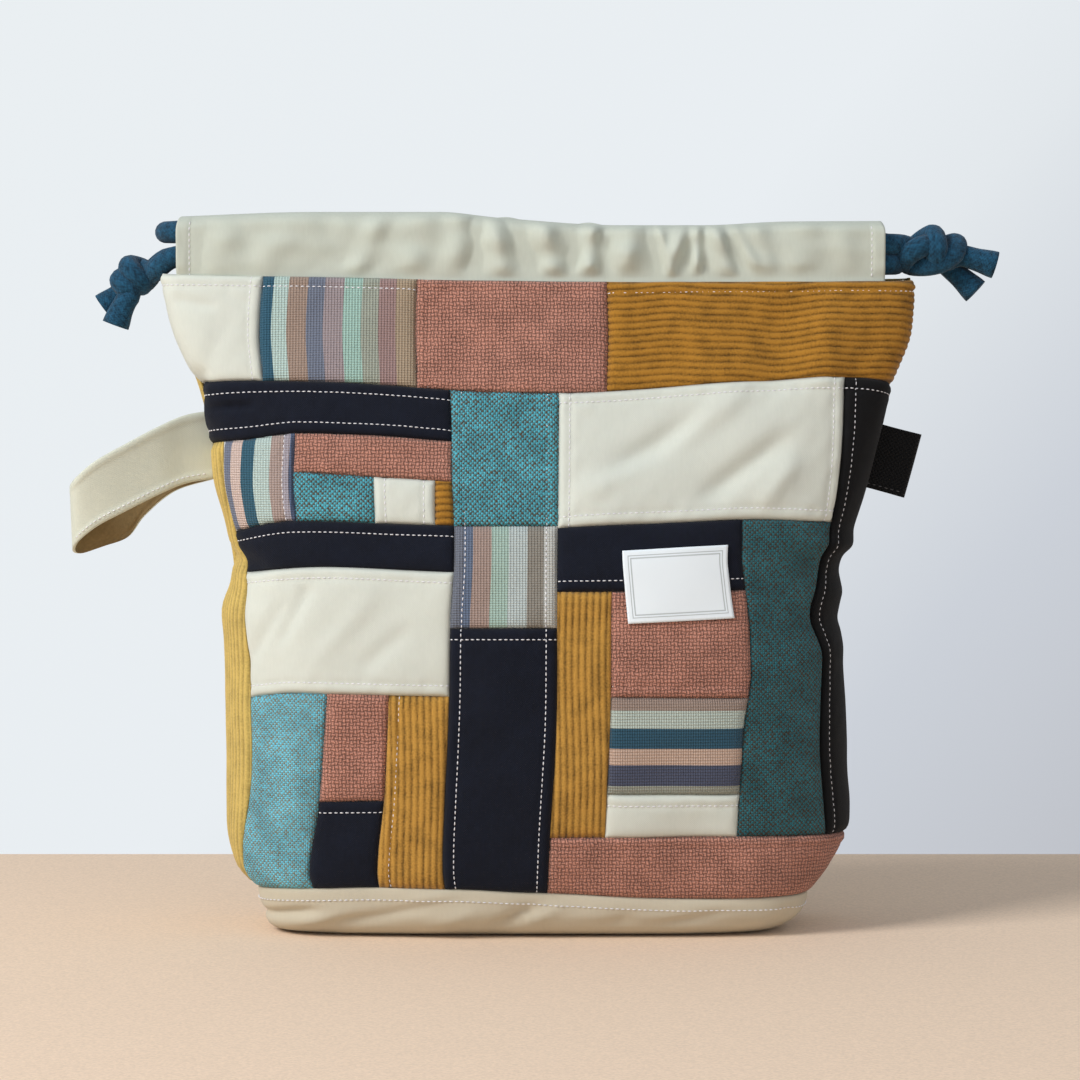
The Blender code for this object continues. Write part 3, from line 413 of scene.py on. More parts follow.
class Body:
    """The body's surface, held as its sections at many heights. Its methods take arrays."""

    def __init__(self):
        self.top = SECTIONS[-1][0]
        self.x = np.zeros((HEIGHT_STEPS + 1, 2 * SHARE_STEPS + 1))
        self.y = np.zeros_like(self.x)
        self.length = np.zeros((HEIGHT_STEPS + 1, 2))
        for row in range(HEIGHT_STEPS + 1):
            height = self.top * row / HEIGHT_STEPS
            left, right, depth, square = (
                smooth(height, [(level[0], level[k]) for level in SECTIONS]) for k in (1, 2, 3, 4))
            lx, ly, self.length[row, 0] = half_section(left, depth, square)
            rx, ry, self.length[row, 1] = half_section(right, depth, square)
            self.x[row] = np.concatenate([-lx[:0:-1], rx])
            self.y[row] = np.concatenate([ly[:0:-1], ry])

    def point(self, share, height, back=False):
        """Points at shares of the cloth from the middle, -1 to 1, and heights."""
        share, height = np.broadcast_arrays(np.asarray(share, float), np.asarray(height, float))
        row = np.clip(height / self.top, 0, 1) * HEIGHT_STEPS
        column = (np.clip(share, -1, 1) + 1) * SHARE_STEPS
        i = np.minimum(row.astype(int), HEIGHT_STEPS - 1)
        j = np.minimum(column.astype(int), 2 * SHARE_STEPS - 1)
        u, v = row - i, column - j
        mixed = []
        for table in (self.x, self.y):
            low = table[i, j] * (1 - v) + table[i, j + 1] * v
            high = table[i + 1, j] * (1 - v) + table[i + 1, j + 1] * v
            mixed.append(low * (1 - u) + high * u)
        return np.stack([mixed[0], mixed[1] if back else -mixed[1], height], axis=-1)

    def normal(self, share, height, back=False):
        """The outward directions there."""
        across, up = 0.012, 0.0012
        share = np.asarray(share, float)
        inner = np.clip(share, -1 + across, 1 - across)
        share = np.where(np.abs(share) < 1, inner, share)
        low, high = np.maximum(height - up, 0), np.minimum(height + up, self.top)
        run = self.point(share + across, height, back) - self.point(share - across, height, back)
        rise = self.point(share, high, back) - self.point(share, low, back)
        out = np.cross(rise, run) if back else np.cross(run, rise)
        return out / np.linalg.norm(out, axis=-1, keepdims=True)

    def off(self, share, height, distance, back=False):
        """Points that far outside the surface."""
        distance = np.asarray(distance, float)[..., None]
        return self.point(share, height, back) + distance * self.normal(share, height, back)

    def half_length(self, share, height):
        """Length of the cloth from the middle to the side seam on each share's side."""
        heights = np.linspace(0, self.top, HEIGHT_STEPS + 1)
        left = np.interp(height, heights, self.length[:, 0])
        right = np.interp(height, heights, self.length[:, 1])
        return np.where(np.asarray(share) > 0, right, left)


BODY = Body()

# Folds of the front: x and height of the middle, half-length, half-width, turn in degrees, height
FOLDS = (
    (0.1090, 0.2230, 0.0190, 0.0070, 82, 0.0026),
    (0.0900, 0.2200, 0.0170, 0.0060, 80, -0.0010),
    (0.1240, 0.2150, 0.0120, 0.0060, 60, -0.0010),
    (-0.1140, 0.1972, 0.0090, 0.0016, 4, -0.0022),
    (-0.1265, 0.2040, 0.0075, 0.0034, 80, -0.0022),
    (-0.0926, 0.0088, 0.0110, 0.0018, 8, -0.0022),
    (-0.0880, 0.0048, 0.0120, 0.0018, 14, 0.0012),
    (-0.0640, 0.0070, 0.0240, 0.0026, 16, -0.0030),
    (-0.0500, 0.0120, 0.0180, 0.0022, 18, 0.0016),
    (-0.0330, 0.0070, 0.0120, 0.0020, 20, 0.0010),
    (-0.0100, 0.0070, 0.0110, 0.0022, 30, -0.0024),
    (0.0020, 0.0085, 0.0090, 0.0018, 28, 0.0011),
    (0.0560, 0.0065, 0.0140, 0.0020, 12, -0.0014),
    (0.0300, 0.0060, 0.0060, 0.0022, 30, -0.0010),
    (0.0906, 0.0070, 0.0060, 0.0022, 45, -0.0013),
    (-0.1280, 0.2360, 0.0080, 0.0022, -10, -0.0012),
    (-0.1110, 0.1400, 0.0120, 0.0035, -15, -0.0020),
    (-0.1000, 0.1130, 0.0150, 0.0030, 58, -0.0012),
    (-0.0890, 0.1200, 0.0130, 0.0028, 62, -0.0013),
    (-0.0700, 0.1160, 0.0160, 0.0040, 50, 0.0009),
    (-0.0560, 0.1080, 0.0120, 0.0035, 40, -0.0009),
    (-0.1200, 0.2200, 0.0100, 0.0040, 70, -0.0006),
    (0.0440, 0.1830, 0.0190, 0.0042, 32, -0.0024),
    (0.0640, 0.1930, 0.0170, 0.0045, 34, 0.0017),
    (0.0780, 0.1750, 0.0190, 0.0042, 36, -0.0026),
    (0.0270, 0.1700, 0.0150, 0.0042, 30, 0.0014),
    (0.0900, 0.1690, 0.0110, 0.0040, 50, 0.0016),
    (0.0560, 0.2240, 0.0250, 0.0070, 5, 0.0006),
    (-0.0200, 0.0700, 0.0300, 0.0080, 80, 0.0005),
    (0.0830, 0.0800, 0.0400, 0.0060, 85, -0.0008),
)

# Folds of both cloths at the side seams: side, height, half-height, how far they stand out
SIDE_FOLDS = (
    (1, 0.1460, 0.0035, 0.0022), (1, 0.1355, 0.0035, -0.0008), (1, 0.1270, 0.0035, 0.0009),
    (1, 0.1170, 0.0035, -0.0009), (1, 0.1060, 0.0045, 0.0005), (1, 0.0500, 0.0080, 0.0006),
    (-1, 0.1300, 0.0050, -0.0007), (-1, 0.1180, 0.0060, 0.0006), (-1, 0.0900, 0.0100, 0.0005),
)


def ripple(u, v, length, seed):
    """Smooth uneven waves of about that length, between -1 and 1."""
    rng = np.random.default_rng(seed)
    total = np.zeros(np.broadcast(u, v).shape)
    for _ in range(7):
        turn, phase, stretch = rng.uniform(0, math.pi), rng.uniform(0, 6.28), rng.uniform(0.7, 1.5)
        wave = 2 * math.pi / (length * stretch)
        total += np.sin(wave * (u * math.cos(turn) + v * math.sin(turn)) + phase)
    return total / 4.5


def relief(points, back=False):
    """How far the cloth's broad folds stand out at points of the body."""
    x, z = points[..., 0], points[..., 2]
    seed = 20 if back else 10
    waves = ripple(x, z, BROAD_WAVE, seed) + FINE_WAVE_SHARE * ripple(x, z, FINE_WAVE, seed + 1)
    calm = 1 - CALM_SHARE * np.clip(np.abs(x) / CALM_HALF_WIDTH, 0, 1) ** 6
    lift = sizes().wrinkle * waves * calm
    for side, height, half_height, out in SIDE_FOLDS:
        at_side = np.clip((side * x - SIDE_FOLD_START) / SIDE_FOLD_RUN, 0, 1)
        lift = lift + at_side * out * np.exp(-((z - height) / half_height) ** 2)
    if not back:
        for fx, fz, half_length, half_width, turn, height in FOLDS:
            cos, sin = math.cos(math.radians(turn)), math.sin(math.radians(turn))
            along = (x - fx) * cos + (z - fz) * sin
            aside = -(x - fx) * sin + (z - fz) * cos
            lift = lift + height * np.exp(-(along / half_length) ** 4 - (aside / half_width) ** 2)
    settle = np.clip(z / FOOT_SETTLE, 0, 1) * np.clip((SETTLE_TOP - z) / MOUTH_SETTLE, MOUTH_LEAST, 1)
    return lift * settle


def seam_lift(rise):
    """How far a cloth stands off the body, for a rise from 0 in its seams to 1 away from them."""
    return sizes().puff * rise - sizes().seam_dip * (1 - rise)


def across_wales(u, height):
    """Distance across upright wales, which wander a little."""
    return u + WALE_WANDER * np.sin(height / WALE_WANDER_LENGTH)


def pile_height(way):
    """The corduroy's pile at a distance across its wales: 0 in the valleys, 1 on the wales."""
    return np.abs(np.cos(math.pi * way / sizes().wale_pitch)) ** 0.6


def spot(a, b, left, right, lower, upper):
    """Share and height at the fractions a and b between a patch's four seams."""
    share = np.zeros_like(a)
    height = np.full_like(a, 0.1)
    for _ in range(14):
        low = smooth(share, lower)
        height = low + b * (smooth(share, upper) - low)
        start = smooth(height, left)
        share = start + a * (smooth(height, right) - start)
    return share, height


class Patch:
    """One patch of the front, with the relief of its seams and topstitches."""

    def __init__(self, name):
        *self.seams, self.cloth, stitched = PATCHES[name]
        self.stitched = stitched.split()
        shares, heights = spot(np.array([0.0, 1.0]), np.array([0.5, 0.5]), *self.seams)
        left, right = shares * BODY.half_length(shares, heights)
        self.width = float(right - left)
        lower, upper = BODY.point(*spot(np.array([0.5, 0.5]), np.array([0.0, 1.0]), *self.seams))
        self.height = float(np.linalg.norm(upper - lower))

    def lift(self, a, b, u, v):
        """How far the patch stands off the body."""
        size = sizes()
        from_side = {"left": a * self.width, "right": (1 - a) * self.width,
                     "lower": b * self.height, "upper": (1 - b) * self.height}
        rise = np.ones_like(a)
        for distance in from_side.values():
            rise = rise * (1 - np.exp(-distance / SEAM_REACH))
        lift = seam_lift(rise)
        for side in self.stitched:
            distance = from_side[side]
            groove = np.exp(-((distance - size.stitch_inset) / GROOVE_REACH) ** 2)
            hem = 1 / (1 + np.exp((distance - size.stitch_inset * 0.8) / HEM_REACH))
            pucker = ripple(u, v, PUCKER_LENGTH, 5) * np.exp(-distance / PUCKER_REACH)
            lift += (HEM_HEIGHT * hem + PUCKER_HEIGHT * pucker) * rise - size.stitch_dip * groove
        return lift

    def wale(self, u, v):
        """The pile of corduroy, or None on flat cloth."""
        if self.cloth == "ochre_across":
            return pile_height(v + 0.0006 * np.sin(u / 0.011) + 0.0003 * np.sin(u / 0.0045))
        return pile_height(across_wales(u, v)) if self.cloth in UPRIGHT_PILE else None

    def place(self, a, b):
        """Points of the patch at its fractions a and b, their cloth coordinates and the pile."""
        share, height = spot(a, b, *self.seams)
        u = share * BODY.half_length(share, height)
        lift = self.lift(a, b, u, height) + relief(BODY.point(share, height))
        wale = self.wale(u, height)
        if wale is not None:
            lift = lift + sizes().wale_depth * (wale - 1)
        return BODY.off(share, height, lift), np.stack([u, height], -1), wale

    def cells(self):
        """Columns and rows of the patch's grid, close enough for its pile."""
        across, up = FINE_CELL, FINE_CELL
        if self.cloth in UPRIGHT_PILE:
            across, up = sizes().wale_pitch / WALE_SAMPLES, PILE_CELL
        elif self.cloth == "ochre_across":
            across, up = PILE_CELL, sizes().wale_pitch / WALE_SAMPLES
        return max(4, round(self.width / across)), max(4, round(self.height / up))


def mesh_from(bm, name):
    """A mesh of the bmesh, which is freed."""
    mesh = bpy.data.meshes.new(name)
    bm.to_mesh(mesh)
    bm.free()
    return mesh


def link_object(name, mesh, mat):
    """A shown object with its mesh, shaded smooth, in its material."""
    obj = bpy.data.objects.new(name, mesh)
    bpy.context.scene.collection.objects.link(obj)
    mesh.materials.append(mat)
    mesh.shade_smooth()
    return obj


def thicken(obj, thickness, offset=-1):
    """Gives a cloth its thickness, inwards where nothing else is said."""
    wall = obj.modifiers.new("Cloth", "SOLIDIFY")
    wall.thickness = thickness
    wall.offset = offset
    wall.use_even_offset = False


def lay_out(mesh, place):
    """Moves a flat grid's vertices to place(a, b) and keeps their cloth and patch coordinates."""
    flat = np.empty(len(mesh.vertices) * 3)
    mesh.vertices.foreach_get("co", flat)
    a, b = flat[0::3] + 0.5, flat[1::3] + 0.5
    points, cloth, wale = place(a, b)
    mesh.vertices.foreach_set("co", np.ascontiguousarray(points, np.float32).ravel())
    corners = np.empty(len(mesh.loops), np.int32)
    mesh.loops.foreach_get("vertex_index", corners)
    for name, values in (("cloth", cloth), ("patch", np.stack([a, b], -1))):
        layer = mesh.uv_layers.new(name=name)
        layer.data.foreach_set("uv", np.ascontiguousarray(values[corners], np.float32).ravel())
    if wale is not None:
        pile = mesh.attributes.new("pile", "FLOAT", "POINT")
        pile.data.foreach_set("value", np.ascontiguousarray(wale, np.float32))
    mesh.update()


def grid_cloth(name, cells, place, mat, thickness, offset=-1):
    """A cloth laid out by place(a, b), with its thickness."""
    bm = bmesh.new()
    bmesh.ops.create_grid(bm, x_segments=cells[0], y_segments=cells[1], size=0.5)
    mesh = mesh_from(bm, name)
    lay_out(mesh, place)
    obj = link_object(name, mesh, mat)
    thicken(obj, thickness, offset)
    return obj


def stand_for(obj, node):
    """Puts a piece on the bag, in place of a node of the frame."""
    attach(obj, "bag")
    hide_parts(node)


class Maker:
    """Builds the nodes of one procedural material."""

    def __init__(self, name, base, roughness=0.9, sheen=0.0):
        self.mat = bpy.data.materials.new(name)
        self.mat.use_nodes = True
        self.tree = self.mat.node_tree
        self.shader = self.tree.nodes["Principled BSDF"]
        self.shader.inputs["Base Color"].default_value = (*base, 1)
        self.shader.inputs["Roughness"].default_value = roughness
        self.shader.inputs["Specular IOR Level"].default_value = 0.25
        self.shader.inputs["Sheen Weight"].default_value = sheen
        self.shader.inputs["Sheen Roughness"].default_value = 0.5

    def put(self, kind, sockets=(), **settings):
        """A node with its settings, and its inputs linked or set."""
        made = self.tree.nodes.new(kind)
        for key, value in settings.items():
            setattr(made, key, value)
        for key, value in dict(sockets).items():
            if isinstance(value, bpy.types.NodeSocket):
                self.tree.links.new(value, made.inputs[key])
            else:
                made.inputs[key].default_value = value
        return made

    def math(self, operation, one, other=0.0):
        """A sum, product or other function of one or two values."""
        return self.put("ShaderNodeMath", {0: one, 1: other}, operation=operation).outputs[0]

    def mix(self, factor, one, other, blend="MIX"):
        """Two colours mixed, each a socket or a plain colour."""
        made = self.put("ShaderNodeMix", {"Factor": factor}, data_type="RGBA", blend_type=blend)
        for socket, value in ((made.inputs[6], one), (made.inputs[7], other)):
            if isinstance(value, bpy.types.NodeSocket):
                self.tree.links.new(value, socket)
            else:
                socket.default_value = (*value, 1)
        return made.outputs[2]

    def coordinates(self, layer):
        """The two coordinates of a UV layer, and both as one vector."""
        uv = self.put("ShaderNodeUVMap", uv_map=layer)
        parts = self.put("ShaderNodeSeparateXYZ", {"Vector": uv.outputs["UV"]})
        return parts.outputs["X"], parts.outputs["Y"], uv.outputs["UV"]

    def wave(self, value, pitch):
        """A sine of a coordinate with that pitch, between -1 and 1."""
        return self.math("SINE", self.math("MULTIPLY", value, 2 * math.pi / pitch))

    def noise(self, vector, scale, detail, stretch=None):
        """Noise between 0 and 1, about 0.5 on the whole."""
        if stretch:
            vector = self.put("ShaderNodeMapping", {"Vector": vector, "Scale": stretch}).outputs["Vector"]
        sockets = {"Vector": vector, "Scale": scale, "Detail": detail}
        return self.put("ShaderNodeTexNoise", sockets).outputs["Fac"]

    def uneven(self, vector, scale, detail, amount):
        """Noise about 0, up to half the amount either way."""
        centred = self.math("SUBTRACT", self.noise(vector, scale, detail), 0.5)
        return self.math("MULTIPLY", centred, amount)

    def woven(self, pitch, scale, detail, drift):
        """A weave whose threads wander: its coordinates, its check, and its warp and weft."""
        u, v, uv = self.coordinates("cloth")
        wander = self.uneven(uv, scale, detail, drift)
        across = self.wave(self.math("ADD", u, wander), pitch * 2)
        up = self.wave(self.math("SUBTRACT", v, wander), pitch * 2)
        check = self.math("MULTIPLY", across, up)
        return uv, check, self.math("ABSOLUTE", across), self.math("ABSOLUTE", up)

    def ranged(self, value, low, high, to_low=0.0, to_high=1.0):
        """A value brought from one range to another and held in it."""
        sockets = {"Value": value, "From Min": low, "From Max": high, "To Min": to_low, "To Max": to_high}
        return self.put("ShaderNodeMapRange", sockets).outputs["Result"]

    def ramp(self, value, stops, interpolation="LINEAR"):
        """Colours read along a ramp, from stops of a position and an sRGB colour."""
        made = self.put("ShaderNodeValToRGB", {"Fac": value})
        made.color_ramp.interpolation = interpolation
        elements = made.color_ramp.elements
        for index, (at, *rgb) in enumerate(stops):
            at_end = index in (0, len(stops) - 1)
            stop = elements[-1 if index else 0] if at_end else elements.new(at)
            stop.position = at
            stop.color = (*linear(*rgb), 1)
        return made.outputs["Color"]

    def base(self, socket):
        """Links the shader's base colour."""
        self.tree.links.new(socket, self.shader.inputs["Base Color"])

    def shade(self, level, low, high, base, dark, light):
        """Colours the cloth from dark to light times its base, as a level goes from low to high."""
        self.base(self.mix(self.ranged(level, low, high), scaled(base, dark), scaled(base, light)))

    def bump(self, height, distance):
        """Gives the shader a fine relief."""
        made = self.put("ShaderNodeBump", {"Height": height, "Distance": distance, "Strength": 1.0})
        self.tree.links.new(made.outputs["Normal"], self.shader.inputs["Normal"])


def scaled(rgb, factor):
    """A colour times a factor, at most 1."""
    return tuple(min(1.0, c * factor) for c in rgb)


def plain_weave(name, base, pitch, depth, lint, sheen=0.1):
    """Cotton in a plain weave, with slubs and a little lint."""
    m = Maker(name, base, 0.9, sheen)
    u, v, uv = m.coordinates("cloth")
    check = m.math("MULTIPLY", m.wave(u, pitch), m.wave(v, pitch))
    slub = m.noise(uv, 900, 3.0, (1.0, 0.25, 1.0))
    cloud = m.noise(uv, 60, 3.0)
    shade = m.ranged(m.math("ADD", slub, cloud), 0.7, 1.3, 1 - lint, 1 + lint)
    m.base(m.mix(1.0, base, shade, "MULTIPLY"))
    m.bump(m.math("ADD", check, m.math("MULTIPLY", slub, 1.2)), depth)
    return m.mat


def two_yarn_weave(name, one, other, pitch):
    """A coarse weave of two yarns, which show by turns."""
    m = Maker(name, one, 0.9, 0.1)
    uv, check, warp, weft = m.woven(pitch, 260, 2.0, pitch * 1.1)
    which = m.ranged(m.math("ADD", check, m.uneven(uv, 650, 3.0, 3.4)), -0.75, 0.55)
    cloud = m.ranged(m.noise(uv, 90, 4.0), 0.3, 0.7, 0.76, 1.24)
    m.base(m.mix(1.0, m.mix(which, other, one), cloud, "MULTIPLY"))
    m.bump(m.math("ADD", warp, weft), 0.0003)
    return m.mat


def basket_weave(name, base, pitch):
    """A basket weave: cells of warp and weft by turns, in painted shade where they dive and with a painted
    highlight on their tops.
    """
    m = Maker(name, base, 0.92, 0.12)
    uv, check, warp, weft = m.woven(pitch, 330, 3.0, pitch * 1.3)
    which = m.ranged(check, -0.3, 0.3)
    height = m.put("ShaderNodeMix", {"Factor": which, 2: warp, 3: weft}, data_type="FLOAT").outputs[0]
    lint = m.math("ADD", m.noise(uv, 1100, 3.0), m.math("MULTIPLY", m.noise(uv, 110, 3.0), 0.8))
    level = m.math("ADD", height, m.math("MULTIPLY", m.math("SUBTRACT", lint, 0.9), 0.9))
    # Painted shade where the threads dive, painted highlight where they rise.
    m.shade(level, 0.15, 1.2, base, 0.45, 1.5)
    m.bump(level, 0.0006)
    return m.mat


def corduroy(name, base, valley=0.38):
    """Corduroy whose pile gets a painted highlight on the wales and painted shade in the valleys between
    them.
    """
    m = Maker(name, base, 0.95, 0.15)
    uv = m.coordinates("cloth")[2]
    pile = m.put("ShaderNodeAttribute", attribute_name="pile").outputs["Fac"]
    fuzz = m.noise(uv, 1300, 3.0)
    lint = m.math("SUBTRACT", m.math("ADD", fuzz, m.noise(uv, 150, 3.0)), 1.0)
    # Painted shade in the valleys and a painted highlight on the wales, with lint about them.
    m.shade(m.math("ADD", pile, m.math("MULTIPLY", lint, 1.15)), 0.1, 1.05, base, valley, 1.34)
    m.bump(fuzz, 0.0002)
    return m.mat


def striped_cloth(name, stripes, upright):
    """Cotton with woven stripes, read along one side of the patch."""
    m = Maker(name, linear(150, 150, 150), 0.9, 0.1)
    u, v, uv = m.coordinates("cloth")
    a, b, _ = m.coordinates("patch")
    starts = [0.0] + [end for end, *_ in stripes[:-1]]
    stops = [(start, *rgb) for start, (_, *rgb) in zip(starts, stripes)]
    tone = m.ramp(b if upright else a, stops, "CONSTANT")
    threads = m.wave(v if upright else u, 0.0011)
    lint = m.math("ADD", m.math("MULTIPLY", threads, 0.25), m.noise(uv, 1100, 3.0))
    m.base(m.mix(1.0, tone, m.ranged(lint, 0.1, 0.9, 0.84, 1.16), "MULTIPLY"))
    m.bump(m.math("ADD", threads, m.wave(u if upright else v, 0.0009)), 0.00012)
    return m.mat


def knitted_cord(name, base):
    """Soft cord with a fine braid of small slanting stitches."""
    m = Maker(name, base, 0.95, 0.12)
    u, v, uv = m.coordinates("cloth")
    slant = m.math("ABSOLUTE", m.wave(u, 0.0032))
    rows = m.wave(m.math("ADD", v, m.math("MULTIPLY", slant, 0.0004)), 0.0010)
    knit = m.math("MULTIPLY", rows, m.wave(u, 0.0016))
    lint = m.math("ADD", m.noise(uv, 800, 4.0), m.math("MULTIPLY", m.noise(uv, 260, 3.0), 0.6))
    level = m.math("ADD", m.math("MULTIPLY", knit, 0.10), lint)
    m.shade(level, 0.56, 1.04, base, 0.44, 1.65)
    m.bump(level, 0.00040)
    return m.mat


def plain_cloth(name, base, rough=0.9, depth=0.0001):
    """Plain cloth whose fine grain follows the object."""
    m = Maker(name, base, rough, 0.1)
    grain = m.noise(m.put("ShaderNodeTexCoord").outputs["Object"], 900, 3.0)
    m.shade(grain, 0.3, 0.7, base, 0.9, 1.08)
    m.bump(grain, depth)
    return m.mat


def bordered_label(name, base, line):
    """A smooth label with thin printed lines round its edge."""
    m = Maker(name, base, 0.7, 0.05)
    a, b, _ = m.coordinates("patch")
    from_sides = []
    for part, length in ((a, LABEL_WIDTH), (b, LABEL_HEIGHT)):
        from_middle = m.math("ABSOLUTE", m.math("SUBTRACT", part, 0.5))
        from_sides.append(m.math("MULTIPLY", m.math("SUBTRACT", 0.5, from_middle), length))
    edge = m.math("MINIMUM", *from_sides)
    inks = []
    for inset, width in LABEL_LINES:
        off = m.math("ABSOLUTE", m.math("SUBTRACT", edge, inset))
        inks.append(m.ranged(off, width, width * 2, 1.0, 0.0))
    m.base(m.mix(m.math("MULTIPLY", m.math("MAXIMUM", *inks), 0.55), base, line))
    return m.mat


@cache
def materials():
    """Every material by the cloth's name, made once."""
    c = colours()
    made = {
        "cream": plain_weave("cream_canvas_look", c.cream, 0.0008, 0.00003, 0.025),
        "ochre_across": corduroy("ochre_corduroy_look", c.ochre),
        "ochre_up": corduroy("upright_corduroy_look", c.ochre_up),
        # The base's canvas is darkened as painted shade.
        "base_in_shade": plain_weave("base_in_shade_look", c.base_in_shade, 0.0008, 0.00003, 0.025),
        "yellow_up": corduroy("yellow_corduroy_look", scaled(c.yellow, 0.94), 0.7),
        "pink": basket_weave("pink_hopsack_look", c.pink, 0.00135),
        "teal": two_yarn_weave("teal_weave_look", c.teal, c.brown, 0.00088),
        # The right teal cloth: its darker yarns, and its brown yarn at 0.55, are partly painted shade.
        "teal_dark": two_yarn_weave("shaded_teal_weave_look", c.teal_dark, scaled(c.brown, 0.55), 0.00088),
        "teal_pale": two_yarn_weave("pale_teal_weave_look", c.teal_pale, c.grey, 0.0008),
        "night": plain_weave("night_cotton_look", c.black, 0.0008, 0.00006, 0.15, 0.04),
        "dark": plain_weave("dark_cotton_look", c.dark, 0.0008, 0.00008, 0.2, 0.04),
        "sage": plain_weave("sage_twill_look", c.sage, 0.0008, 0.00003, 0.03),
        "strap": plain_weave("strap_twill_look", c.strap, 0.0008, 0.00003, 0.03),
        "strap_inner_shade": plain_cloth("strap_inner_shade_look", c.strap_inner_shade),
        "lining": plain_cloth("lining_look", c.lining),
        "cord": knitted_cord("cord_look", c.cord),
        "black": plain_weave("black_webbing_look", c.black, 0.0016, 0.00020, 0.2),
        "label": bordered_label("label_look", c.label, linear(120, 128, 130)),
        "thread": plain_cloth("thread_look", c.thread, 0.6, 0.00002),
        "black_thread": plain_cloth("grey_thread_look", scaled(c.thread, 0.10), 0.7, 0.00002),
    }
    for name, stripes in STRIPES.items():
        made[name] = striped_cloth(f"{name}_look", stripes, name in STRIPES_UP)
    return made


class BAG_OT_camera(bpy.types.Operator):
    """Puts the camera where the photo was taken from"""

    bl_idname = "bag.camera"
    bl_label = "Camera"

    def execute(self, context):
        data = bpy.data.cameras.new("bag_camera")
        data.lens = CAMERA_LENS
        data.sensor_width = 36
        camera = bpy.data.objects.new("bag_camera", data)
        context.scene.collection.objects.link(camera)
        camera.location = CAMERA_PLACE
        look = Vector(CAMERA_AIM) - Vector(CAMERA_PLACE)
        camera.rotation_euler = look.to_track_quat("-Z", "Y").to_euler()
        context.scene.camera = camera
        return {"FINISHED"}


def spline_points(points, step):
    """Points read from a smooth curve through a route, about one step apart."""
    route = [np.array(p, float) for p in points]
    ends = [2 * route[0] - route[1]] + route + [2 * route[-1] - route[-2]]
    found = []
    for p0, p1, p2, p3 in zip(ends, ends[1:], ends[2:], ends[3:]):
        pieces = max(1, round(float(np.linalg.norm(p2 - p1)) / step))
        for k in range(pieces):
            t = k / pieces
            found.append(0.5 * (2 * p1 + (p2 - p0) * t + (2 * p0 - 5 * p1 + 4 * p2 - p3) * t * t
                                + (3 * p1 - p0 - 3 * p2 + p3) * t ** 3))
    found.append(route[-1])
    return np.array(found)


def loop_route(side, height):
    """A cord's way through the front casing, round past the far ends and back through the other."""
    near, far = (CASING_LEFT, CASING_RIGHT) if side < 0 else (CASING_RIGHT, CASING_LEFT)
    far += side * (CASING_SETBACK - CORD_SLACK + TURN_DEPTH)
    y = CASING_MIDDLE
    front = [(near + side * 0.0005, -y + 0.0004, height), (near - side * 0.006, -y, height)]
    front += [(x, -y, height) for x in np.linspace(near - side * 0.03, far + side * 0.012, 9)]
    turn = [(far - side * y * math.cos(t), -y * math.sin(t), height)
            for t in np.linspace(math.pi / 2, 0, 5)]
    loop = front + turn + [(x, -yy, z) for x, yy, z in (front + turn[:-1])[::-1]]
    return [(x, yy, z - cord_dip(side, x)) for x, yy, z in loop]


def cord_dip(side, x):
    """How far a cord hangs below its straight run, where the casings dip or past their end."""
    room = HIGH_CORD_HEIGHT + CHANNEL_HALF + CASING_CLOTH + 0.0002 - float(smooth(x, CASING_TOP))
    past = max(0.0, min(1.0, (x - CASING_RIGHT + 0.016) / 0.016))
    if side > 0:
        return max(0.0, room) + 0.0030 * past
    return max(0.0, room - 0.0017) + 0.0020 * past


def helix(middle, axis, radius, turns, pitch, start):
    """Points of a wrap round an axis through the knot's middle."""
    axis = np.array(axis, float) / np.linalg.norm(axis)
    side = np.cross(axis, (0, 1, 0))
    side /= np.linalg.norm(side)
    up = np.cross(side, axis)
    count = round(turns * 8)
    found = []
    for k in range(count + 1):
        angle = start + 2 * math.pi * turns * k / count
        along = (k / count - 0.5) * turns * pitch
        out = radius * (math.cos(angle) * side + math.sin(angle) * up)
        found.append(np.array(middle) + along * axis + out)
    return found


# Cord: side, height of its run, knot's middle, and its two strands from the casing to the tail's end
CORDS = {
    "left_drawstring": (
        -1, LOW_CORD_HEIGHT, LEFT_KNOT,
        [(-0.1388, -0.0070, 0.2521), (-0.1421, -0.0052, 0.2498), (-0.1454, -0.0014, 0.2474),
         *helix(LEFT_KNOT, (-0.55, 0.0, -0.84), 0.0039, 1.6, 0.0060, 1.57),
         (-0.1548, -0.0044, 0.2368), (-0.1569, -0.0046, 0.2326), (-0.1588, -0.0046, 0.2276)],
        [(-0.1404, 0.0068, 0.2528), (-0.1452, 0.0044, 0.2486), (-0.1478, 0.0022, 0.2446),
         (-0.1508, 0.0012, 0.2438), (-0.1548, 0.0014, 0.2412), (-0.1594, 0.0018, 0.2380),
         (-0.1641, 0.0018, 0.2346)],
    ),
    "right_drawstring": (
        1, HIGH_CORD_HEIGHT, RIGHT_KNOT,
        [(0.1380, -0.0048, 0.2577), (0.1440, 0.0000, 0.2557), (0.1500, 0.0046, 0.2552),
         (0.1560, 0.0046, 0.2577), (0.1590, -0.0004, 0.2581), (0.1576, -0.0050, 0.2547),
         (0.1530, -0.0064, 0.2515), (0.1466, -0.0046, 0.2502), (0.1412, -0.0010, 0.2508),
         (0.1396, -0.0058, 0.2532), (0.1432, -0.0088, 0.2562), (0.1478, -0.0052, 0.2576),
         (0.1520, 0.0020, 0.2552), (0.1566, 0.0040, 0.2500), (0.1618, 0.0020, 0.2450),
         (0.1666, 0.0010, 0.2404)],
        [(0.1390, 0.0070, 0.2577), (0.1436, 0.0056, 0.2573), (0.1476, 0.0036, 0.2602),
         (0.1502, -0.0026, 0.2614), (0.1508, -0.0082, 0.2574), (0.1512, -0.0066, 0.2526),
         (0.1545, -0.0006, 0.2520), (0.1605, -0.0010, 0.2538), (0.1670, -0.0024, 0.2522),
         (0.1736, -0.0026, 0.2503)],
    ),
}


